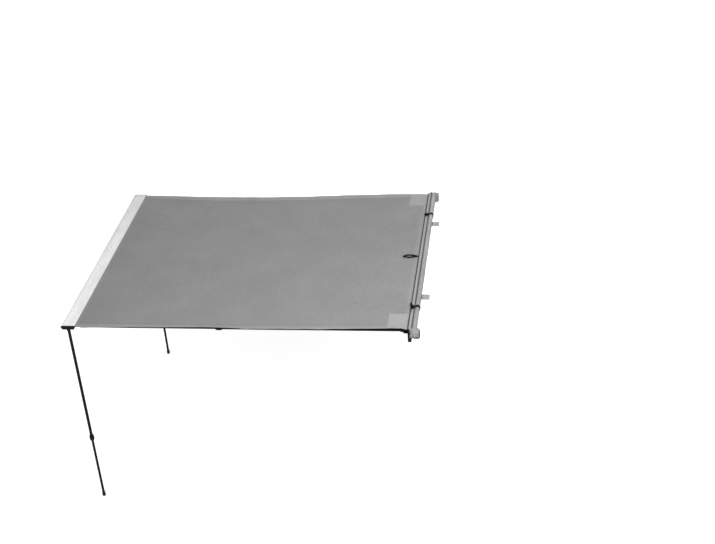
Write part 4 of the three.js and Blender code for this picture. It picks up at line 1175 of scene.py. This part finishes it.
def bush_form(start):
    """The nylon slide on the thin tube's hidden end."""
    return solid([(9.0, start - 15), (9.5, start - 14.4), (9.5, start - 0.6),
                  (8.0, start - 0.3), (8.0, start + 12)], 32)


def build_pole(kind, end, lie, at, thick, thin, collar_at, span, last):
    """Makes a leg or an arm with its pivot in a place and its own axes lying as lie says. thick
    and thin name its tubes, span is where the thin one starts and ends, and last is its tip."""
    pieces = (
        ("knuckle", knuckle_form(), moulded_abs, thick, "black_plastic", 0.8),
        (f"{thick}_tube", outer_tube_form(collar_at), black_tube, thick, "black_tube", 0),
        ("collar", collar_form(collar_at), moulded_abs, "lock", "black_plastic", 0),
        (f"{thin}_tube", inner_tube_form(*span), black_tube, thin, "black_tube", 0),
        ("bush", bush_form(span[0]), moulded_abs, thin, "black_plastic", 0),
        (*last, 0),
    )
    for part, form, material, body, slot_name, edge in pieces:
        piece = make_piece(f"{kind}_{part}_fine_{end}", placed(form, *lie, at), material)
        soften(piece, edge or 0.12, 3 if edge else 1)
        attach(piece, f"{kind}_{body}_{end}")
        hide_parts(f"{kind}_{part}_{end}")


for end, side in ENDS:
    build_pole("leg", end, ((0, 1, 0), (1, 0, 0), (0, 0, -1)),
               (side * LEG_AT, -LEG_OUT[end], LEG_PIVOT_UP), "upper", "lower", LEG_COLLAR_AT,
               LEG_TUBE_SPAN, ("foot", foot_form(), moulded_rubber, "lower", "rubber"))

# Arms: the same tubes, knuckles and twist collars, lying level under the canopy's ends to hold
# the lead rail away from the vehicle. Each ends in a rounded tip that hangs on its catch pin.
ARM_COLLAR_AT = 1330.0
ARM_INNER_START = 1130.0
ARM_TIP_END = 2354.0
ARM_TIP_START = 2300.0


def tip_form():
    """The rounded end with an upright socket for the catch pin."""
    end, start = ARM_TIP_END, ARM_TIP_START
    body = solid([(8.0, start - 12), (8.0, start), (10.6, start), (11.0, start + 0.5),
                  (11.0, end - 6), (10.2, end - 3.4), (8.4, end - 1.4), (5.5, end)])
    boss = solid([(9.0, 0), (9.0, 17.2), (8.2, 18.0), (5.2, 18.0), (4.6, 17.4), (4.6, 5)], 36)
    upright = placed(boss, *ALONG_RAILS, (0, 0, CATCH_OUT - ARM_PIVOT_OUT))
    return together(body, upright)


for end, side in ENDS:
    build_pole("arm", end, ((0, 0, 1), (-1, 0, 0), (0, -1, 0)),
               (side * ARM_AT, -ARM_PIVOT_OUT, ARM_LEVEL[end]), "outer", "inner", ARM_COLLAR_AT,
               (ARM_INNER_START, ARM_TIP_START - 0.3),
               ("tip", tip_form(), moulded_abs, "inner", "black_plastic"))
